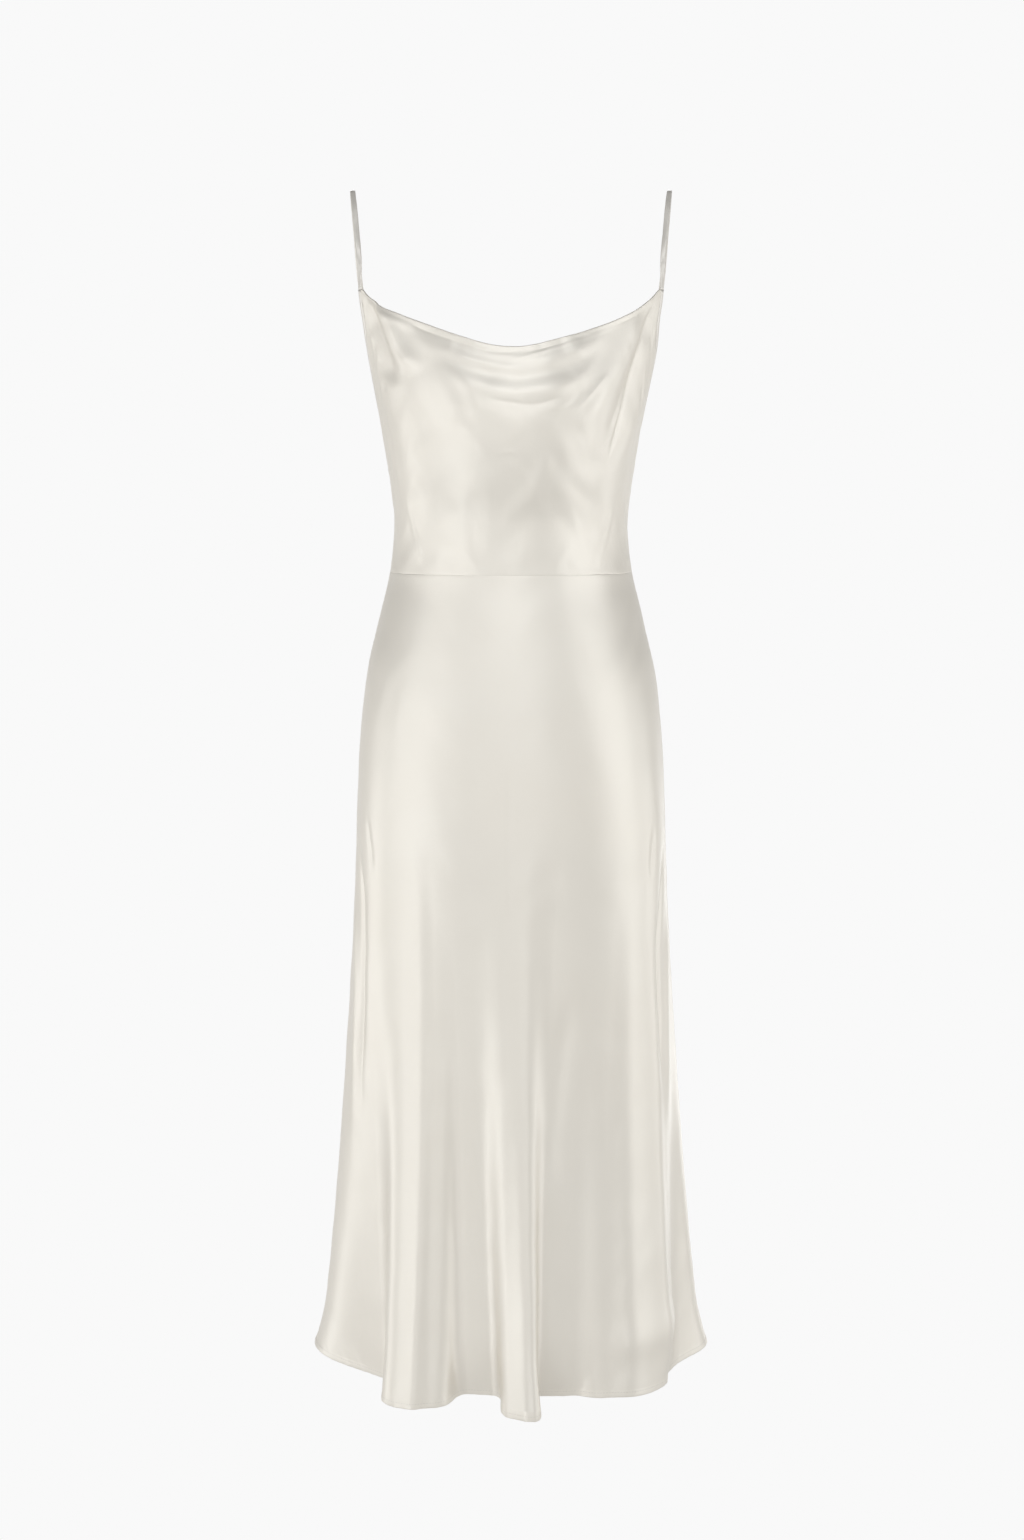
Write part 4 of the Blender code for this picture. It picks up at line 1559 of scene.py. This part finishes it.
@dataclass(kw_only=True)
class Skirt(Panel):
    """A skirt panel from the waist seam to its narrow turned-up hem, between its first and last flare."""

    lines: tuple[Flare, ...]
    columns: int = 261
    coarse: float = 0.0042
    near_hem: float = 0.010
    hem_height: float = 0.0058
    hem_wall: float = 0.0018
    hem_step: float = 0.00035
    step_width: float = 0.0012
    stitch_inset: float = 0.0012
    stitch_sink: float = 0.00028
    stitch_groove: float = 0.0007
    hem_waves: EdgeWaves = EdgeWaves(0.00030, 0.011, 0.012)
    samples: int = 4000

    def grid(self) -> tuple[Array, Array]:
        """Columns stand at equal steps of cloth along the hem and follow the flares' lines upwards.

        Returns:
            The grid's angles and drops.
        """
        form = self.form
        at_hem = np.array([flare.at_hem for flare in self.lines])
        along_hem = np.linspace(at_hem[0], at_hem[-1], self.samples)
        length = run_length(form.point(along_hem, np.full(self.samples, form.hem_drop)), 0)
        hem_angles = np.interp(np.linspace(0, length[-1], self.columns), length, along_hem)
        height = form.hem_drop - form.waist_drop
        share = fine_rows(height, self.near_seam, self.near_hem, self.fine, self.coarse)[:, None]
        top = form.waist_drop + form.seam_gap / 2
        drops = top + (form.hem_drop + form.hem_dip(hem_angles) - top) * share
        numbers = np.arange(len(self.lines))
        between = np.interp(hem_angles, at_hem, numbers)
        angles = [
            np.interp(between, numbers, [form.flare_angle(flare, level) for flare in self.lines])
            for level in drops.mean(axis=1)
        ]
        return np.array(angles), drops

    def own_relief(self, measured: dict[str, Array]) -> tuple[Array, Array]:
        """A sewn waist above, and below it a double hem with a row of stitches sunk into its top.

        Args:
            measured: distances along the cloth from the panel's middle and from each of its edges.

        Returns:
            The outward shift and the thickness, both eased up by a step at the hem's upper fold.
        """
        across, above_hem = measured["across"], measured["bottom"]
        on_hem = ease((self.hem_height - above_hem) / self.step_width + 0.5)
        sunk = self.stitch_sink * bell(above_hem - self.hem_height + self.stitch_inset, self.stitch_groove)
        shift = self.seam(measured["top"], across, self.seed + 2, self.waist_seam)
        shift = shift + self.hem_step * on_hem - sunk + self.hem_waves.shift(across, above_hem, self.seed + 3)
        return shift, self.wall + (self.hem_wall - self.wall) * on_hem

    def stitch(self) -> bpy.types.Object:
        """Makes the row of stitches that holds the hem, just below its upper fold.

        Returns:
            The finished stitches.
        """
        above_hem = self.measured["bottom"]
        row = np.abs(above_hem - (self.hem_height - self.stitch_inset)).argmin(axis=0)
        column = np.arange(above_hem.shape[1])
        line, outs = self.outer[row, column], grid_normals(self.outer)[row, column]
        stitches = StitchRow(f"{self.node}_hem_stitches", line, outs).build(self.wardrobe.thread_material)
        report(stitches)
        return stitches


# ---------------------------------------------------------------- straps and bindings


class Wavering(NamedTuple):
    """A share of a size that wavers along a band: its mean, its swing, and the spacing of the swings."""

    mean: float
    swing: float
    spacing: float

    def at(self, along: Array, seed: int) -> Array:
        """The mean, and the swing times ripples along the band."""
        return self.mean + self.swing * ripples(along, self.spacing, seed)


@dataclass
class Binding:
    """A folded strip that finishes an edge, carried on a seam gap clear of the cloth."""

    name: str
    form: DressForm
    wardrobe: Wardrobe
    path: Path
    width: float = 0.0050
    wall: float = 0.0023
    cloth_wall: float = 0.002
    trim: float = 0.0006
    wide: Wavering = Wavering(1.0, 0.02, 0.014)
    thick: Wavering = Wavering(1.0, 0.08, 0.006)
    corner: float = 0.62
    ring_points: int = 16
    stitch_inset: float = 0.0013
    stitch_height: float = 0.90
    stitch_length: float = 0.0020
    stitch_pitch: float = 0.0026
    seed: int = 5

    def frame_lines(self) -> tuple[Array, Array, Array]:
        """The line that the strip is carried along, above the edge and a trim short of its ends.

        Returns:
            Centres, directions across the strip and directions outward.
        """
        angles, drops = self.path
        along = run_length(self.form.point(angles, drops), 0)
        at = np.linspace(self.trim, along[-1] - self.trim, len(angles))
        angles, drops = np.interp(at, along, angles), np.interp(at, along, drops)
        edge = self.form.point(angles, drops)
        outs = self.form.normal(angles, drops)
        tangents = unit(np.gradient(edge, axis=0))
        sides = np.cross(tangents, outs)
        sides = unit(sides * np.sign(sides[:, 2:]))
        centres = edge - outs * self.cloth_wall / 2 + sides * (self.form.seam_gap + self.width / 2)
        return centres, sides, unit(np.cross(sides, tangents))

    def build(self) -> list[bpy.types.Object]:
        """Makes the strip and the row of stitches along its lower edge.

        The strip is a rounded band whose thickness and width waver a little, as where a folded strip
        was pushed along under the needle.

        Returns:
            The strip and its stitches.
        """
        centres, sides, outs = self.frame_lines()
        along = run_length(centres, 0)
        half_width = self.width / 2 * self.wide.at(along, self.seed)
        half_thick = self.wall / 2 * self.thick.at(along, self.seed + 1)
        band = Band(centres, sides, outs, half_width, half_thick, rounded_ring(self.corner, self.ring_points))
        piece = band.build(f"{self.name}_strip", [self.wardrobe.trim_material])
        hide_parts(self.name)
        report(piece)
        line = centres - sides * (self.width / 2 - self.stitch_inset) + outs * (self.wall / 2 * self.stitch_height)
        row = StitchRow(f"{self.name}_stitches", line, outs, self.stitch_length, self.stitch_pitch)
        stitches = row.build(self.wardrobe.thread_material)
        report(stitches)
        return [piece, stitches]


class Side(Enum):
    """Which of the wearer's shoulders, as the sign of x."""

    LEFT = 1
    RIGHT = -1


@dataclass
class Strap:
    """A narrow strap turned out of a bias strip, from the front corner over the shoulder to the back.

    Its line is that of the left shoulder. Places along it are shares of its length, and turns are in
    radians.
    """

    side: Side
    form: DressForm
    wardrobe: Wardrobe
    width: float = 0.0055
    thick: float = 0.0018
    cloth_wall: float = 0.002
    binding_width: float = 0.005
    front_gap: float = -0.0002
    back_gap: float = 0.0022
    turn_share: float = 0.16
    roll: float = 0.42
    roll_share: float = 0.30
    sway: float = 0.10
    sway_turns: float = 9.0
    sewn_share: float = 0.04
    wide: Wavering = Wavering(0.97, 0.02, 0.016)
    deep: Wavering = Wavering(0.92, 0.06, 0.009)
    seeds: tuple[int, int] = (3, 7)
    corner: float = 0.60
    ring_points: int = 18
    furrow_depth: float = 0.16
    furrow_place: float = 0.25
    furrow_width: float = 0.22
    stations: int = 220
    line: tuple[tuple[float, float, float], ...] = (
        (0.1567, -0.0410, -0.0780),
        (0.1602, -0.0270, -0.0400),
        (0.1638, -0.0120, -0.0100),
        (0.1658, 0.0000, 0.0009),
        (0.1663, 0.0170, -0.0080),
        (0.1650, 0.0380, -0.0400),
        (0.1620, 0.0560, -0.0900),
        (0.1520, 0.0660, -0.1500),
        (0.1330, 0.0690, -0.2050),
    )

    def corner_top(self, edge: Edge, outward: float, above: float) -> Array:
        """A point in the middle of the solid's wall, where an end of the strap is sewn on.

        Args:
            edge: the corner of the upper edge.
            outward: how far to go along the cloth, away from the front.
            above: how far to go up.

        Returns:
            The point.
        """
        angle, drop = edge
        inward = self.form.normal(np.array(angle), np.array(drop)) * self.cloth_wall / 2
        outward_way = self.form.around(angle, drop) * outward
        return self.form.point(angle, drop) - inward + outward_way + np.array([0.0, 0.0, above])

    def furrowed_ring(self) -> Array:
        """The strap's section: a rounded ring whose upper face is lowered by a bell across it.

        Returns:
            The ring's points.
        """
        ring = rounded_ring(self.corner, self.ring_points)
        furrow = self.furrow_depth * bell(ring[:, 0] - self.furrow_place, self.furrow_width) * (ring[:, 1] > 0)
        return ring * np.stack([np.ones(len(ring)), 1 - furrow], axis=-1)

    def rolled(self, place: Array, sign: int) -> Array:
        """How far the strap turns about its own line: half a wave of roll near its foot and a slow sine
        along it, both faded out where it is sewn on.

        Args:
            place: shares of the strap's length.
            sign: 1 for the left strap and -1 for the right.

        Returns:
            The turn, in radians.
        """
        foot = np.sin(math.pi * ease(place / self.roll_share)) * (place < self.roll_share)
        turn = self.roll * sign * foot + self.sway * np.sin(self.sway_turns * place + sign)
        return turn * ease(place / self.sewn_share) * ease((1 - place) / self.sewn_share)

    def build(self) -> bpy.types.Object:
        """Makes the strap.

        Its width lies across the shoulder along most of its length, turns into the cloth where it is
        sewn on, and rolls on its own line a little in between. A shallow furrow down one face is where
        its seam lies.

        Returns:
            The finished piece.
        """
        front_edge, back_edge = Edge(FRONT_CORNER, NECKLINE[0].drop), ARMHOLE_BACK[-1]
        front = self.corner_top(front_edge, self.form.seam_gap + self.binding_width / 2, self.front_gap)
        back = self.corner_top(back_edge, 0.0, self.binding_width + self.back_gap)
        line = through([front, *self.line, back], self.stations)
        place = np.linspace(0, 1, self.stations)[:, None]
        from_front, from_back = ease(place / self.turn_share), ease((1 - place) / self.turn_share)
        in_front = self.form.around(*front_edge) * (1 - from_front)
        behind = -self.form.around(*back_edge) * (1 - from_back)
        sides = unit(in_front + behind + np.array([1.0, 0.0, 0.0]) * from_front * from_back)
        sign = self.side.value
        line, sides = line * (sign, 1, 1), sides * (sign, 1, 1) * sign
        tangents = unit(np.gradient(line, axis=0))
        outs = unit(np.cross(sides, tangents))
        sides = np.cross(tangents, outs)
        roll = self.rolled(place, sign)
        sides, outs = sides * np.cos(roll) + outs * np.sin(roll), outs * np.cos(roll) - sides * np.sin(roll)
        along = run_length(line, 0)
        half_width = self.width / 2 * self.wide.at(along, self.seeds[0] + sign)
        half_thick = self.thick / 2 * self.deep.at(along, self.seeds[1] + sign)
        name = f"strap_{self.side.name.lower()}"
        band = Band(line, sides, outs, half_width, half_thick, self.furrowed_ring())
        piece = band.build(f"{name}_tube", [self.wardrobe.trim_material])
        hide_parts(name)
        report(piece)
        return piece


# ---------------------------------------------------------------- the studio


class Softbox(NamedTuple):
    """A long soft light: the azimuth and height of its upper and lower ends, its distance, width and power."""

    name: str
    upper: tuple[float, float]
    lower: tuple[float, float]
    distance: float
    width: float
    power: float

    def end(self, place: tuple[float, float]) -> Array:
        """One end of the light: its azimuth turned to x and y at the light's distance, and its height."""
        turn = math.radians(place[0])
        return np.array([self.distance * math.sin(turn), -self.distance * math.cos(turn), place[1]])


@dataclass
class Studio:
    """A pale floor, soft lights and the camera.

    The fill light comes from the surround. Its strengths are high_fill overhead and low_fill below the
    horizon, less front_dip low in front of the dress and steep_dip straight down. Each `from` gives the
    two places, on a unit sphere, between which such a change is made.
    """

    floor_drop: float = 1.90
    floor_half: float = 0.55
    floor_points: int = 25
    background: float = 0.947
    high_fill: float = 0.17
    low_fill: float = 0.89
    low_from: tuple[float, float] = (0.34, 0.02)
    front_dip: float = 0.12
    front_from: tuple[float, float] = (-0.20, -0.85)
    dip_from: tuple[float, float] = (-0.05, -0.30)
    steep_dip: float = 0.50
    steep_from: tuple[float, float] = (-0.30, -0.46)
    fill_tint: Tone = (1.0, 0.990, 0.965)
    light_tint: Tone = (0.965, 1.0, 1.04)
    camera_place: tuple[float, float, float] = (0.001, -2.60, -0.2677)
    camera_pitch: float = 7.502
    lens: float = 56.805
    sensor: float = 36.0
    lights: tuple[Softbox, ...] = (
        Softbox("left_softbox", (-46.0, 0.50), (-60.0, -1.20), 2.9, 2.0, 16.5),
        Softbox("left_low_softbox", (-32.0, -1.40), (-32.0, -1.80), 2.9, 0.9, 7.8),
        Softbox("left_low_panel", (-94.0, -0.45), (-94.0, -1.88), 2.4, 1.0, 7.0),
        Softbox("right_softbox", (42.0, 0.50), (74.0, -1.15), 2.9, 1.8, 19.5),
        Softbox("right_side_softbox", (98.0, -0.60), (98.0, -1.50), 2.6, 0.8, 4.5),
        Softbox("right_rim_softbox", (146.0, -0.90), (146.0, -1.85), 2.6, 0.8, 4.0),
        Softbox("front_softbox", (0.0, 1.9), (0.0, 0.9), 3.3, 2.4, 42.0),
        Softbox("front_low_panel", (3.0, -0.70), (3.0, -1.15), 3.2, 0.5, 3.2),
        Softbox("back_softbox", (184.0, 2.1), (184.0, 1.0), 3.3, 2.4, 30.0),
    )
    aim: tuple[float, float, float] = (0.0, 0.0, -0.62)

    def build_floor(self) -> None:
        """Makes the floor, a level square below the dress."""
        line = np.linspace(-self.floor_half, self.floor_half, self.floor_points)
        x, y = np.meshgrid(line, line)
        points = np.stack([x, y, np.full(x.shape, -self.floor_drop)], axis=-1).reshape(-1, 3)
        faces = turned_over(grid_faces(self.floor_points, self.floor_points)).reshape(-1, 4).tolist()
        mesh = bpy.data.meshes.new("floor")
        mesh.from_pydata(points.tolist(), [], faces)
        mesh.materials.append(StudioWhite().make())
        floor = bpy.data.objects.new("floor", mesh)
        bpy.context.scene.collection.objects.link(floor)

    def build_world(self) -> None:
        """Sets the surround: an even backdrop to the camera, and uneven fill light to everything else."""
        world = bpy.data.worlds.new("surround")
        bpy.context.scene.world = world
        world.use_nodes = True
        nodes = Nodes(world.node_tree)
        direction = nodes.node("ShaderNodeTexCoord", output="Generated")
        height = nodes.node("ShaderNodeSeparateXYZ", {}, {0: direction}, "Z")
        reach = nodes.node("ShaderNodeSeparateXYZ", {}, {0: direction}, "Y")
        low = nodes.step(height, *self.low_from)
        in_front = nodes.step(reach, *self.front_from) * nodes.step(height, *self.dip_from)
        steep = nodes.step(height, *self.steep_from)
        fill = low * (self.low_fill - self.high_fill) + self.high_fill
        fill = fill - in_front * self.front_dip - steep * self.steep_dip
        to_camera = nodes.node("ShaderNodeLightPath", output="Is Camera Ray")
        strength = nodes.node("ShaderNodeMix", {}, {0: to_camera, 2: fill, 3: self.background})
        shade = nodes.tree.nodes["Background"]
        tint = nodes.mix_colour(to_camera, opaque(self.fill_tint), (1.0, 1.0, 1.0, 1.0))
        nodes.feed(shade.inputs["Strength"], strength)
        nodes.feed(shade.inputs["Color"], tint)

    def build_lights(self) -> None:
        """Hangs the softboxes round the dress, each turned towards its middle."""
        for box in self.lights:
            upper, lower = box.end(box.upper), box.end(box.lower)
            light = bpy.data.lights.new(box.name, "AREA")
            light.shape, light.size, light.energy = "RECTANGLE", box.width, box.power
            light.color = self.light_tint
            light.size_y = float(np.linalg.norm(upper - lower))
            place = (upper + lower) / 2
            along = unit(upper - lower)
            across = unit(np.cross(along, place - np.array(self.aim)))
            lamp = bpy.data.objects.new(box.name, light)
            lamp.location = place
            turned = np.stack([across, along, np.cross(across, along)], axis=-1)
            lamp.rotation_euler = Matrix(turned.tolist()).to_euler()
            bpy.context.scene.collection.objects.link(lamp)

    def build_camera(self) -> None:
        """Makes the scene's camera, a little below the tops of the shoulders and pitched down."""
        camera = bpy.data.cameras.new("camera")
        camera.sensor_width, camera.lens = self.sensor, self.lens
        placed = bpy.data.objects.new("camera", camera)
        placed.location = self.camera_place
        placed.rotation_euler = (math.radians(90 - self.camera_pitch), 0.0, 0.0)
        bpy.context.scene.collection.objects.link(placed)
        bpy.context.scene.camera = placed

    def build(self) -> None:
        """Makes the whole studio."""
        self.build_floor()
        self.build_world()
        self.build_lights()
        self.build_camera()
        bpy.context.scene.view_settings.view_transform = "Standard"
        log.info("studio: floor, surround, %d lights and camera", len(self.lights))


# ---------------------------------------------------------------- the whole dress


@dataclass
class SlipDress:
    """The dress: four panels, three bindings and two straps."""

    form: DressForm = DressForm()
    wardrobe: Wardrobe = field(default_factory=Wardrobe)
    refine: int = 5

    def stretch(self, edges: Sequence[Edge], stations: int) -> Path:
        """A stretch of the upper edge at the solids' own stations, with each step refined."""
        return self.form.edge_path(edges, (stations - 1) * self.refine + 1)

    def __post_init__(self) -> None:
        """Works out the stretches of the upper edge."""
        self.neckline = self.stretch(NECKLINE, 37)
        self.armhole_front = self.stretch(ARMHOLE_FRONT, 11)
        self.armhole_back = self.stretch(ARMHOLE_BACK, 9)
        half_back = self.stretch(BACK_NECKLINE, 10)
        self.back_neckline = joined(half_back, mirrored(half_back, 360))

    def panels(self) -> tuple[Bodice, Bodice, Skirt, Skirt]:
        """The four panels, still to be built.

        Returns:
            The front and back bodice, and the front and back skirt.
        """
        both = {"form": self.form, "wardrobe": self.wardrobe}
        seam = [flare.name for flare in FLARES].index("left_side_crest")
        front_bodice = Bodice(
            node="front_bodice", flat=(0.42, 0.30), height=0.25, neck=(-FRONT_CORNER, FRONT_CORNER), seed=21,
            path=joined(mirrored(self.armhole_front), self.neckline, self.armhole_front),
            creases=FRONT_BODICE_CREASES, rumples=(Rumple(0.00020, 0.052, 11), Rumple(0.00008, 0.026, 12)), **both,
        )
        back_bodice = Bodice(
            node="back_bodice", flat=(0.36, 0.17), height=0.13, waist_angles=(LEFT_SEAM, 360 + RIGHT_SEAM), seed=31,
            path=joined(self.armhole_back, self.back_neckline, mirrored(self.armhole_back, 360)),
            creases=BACK_BODICE_CREASES, rumples=(Rumple(0.00030, 0.036, 13),), **both,
        )
        front_skirt = Skirt(
            node="front_skirt", flat=(0.72, 0.90), lines=FLARES[: seam + 1], seed=41,
            creases=FRONT_SKIRT_CREASES, rumples=(Rumple(0.00012, 0.060, 14),), **both,
        )
        back_skirt = Skirt(
            node="back_skirt", flat=(0.76, 0.90), lines=FLARES[seam:], seed=51,
            creases=BACK_SKIRT_CREASES, rumples=(Rumple(0.00014, 0.060, 15),), **both,
        )
        return front_bodice, back_bodice, front_skirt, back_skirt

    def build(self) -> None:
        panels = front_bodice, back_bodice, front_skirt, back_skirt = self.panels()
        for panel in panels:
            panel.build()
        hems = [skirt.stitch() for skirt in (front_skirt, back_skirt)]
        armhole = joined(self.armhole_front, self.armhole_back)
        bound = {
            "armhole_binding_left": armhole,
            "armhole_binding_right": mirrored(armhole),
            "back_neck_binding": self.back_neckline,
        }
        left, right, neck = (Binding(name, self.form, self.wardrobe, path).build() for name, path in bound.items())
        straps = [Strap(side, self.form, self.wardrobe).build() for side in Side]
        front_bodice.declare([*left, *right, *straps])
        back_bodice.declare(neck)
        front_skirt.declare(hems[:1])
        back_skirt.declare(hems[1:])


def main() -> None:
    """Builds the studio and the dress."""
    logging.basicConfig(level=logging.INFO, format="%(name)s %(message)s")
    Studio().build()
    SlipDress().build()


if __name__ == "__main__":
    main()
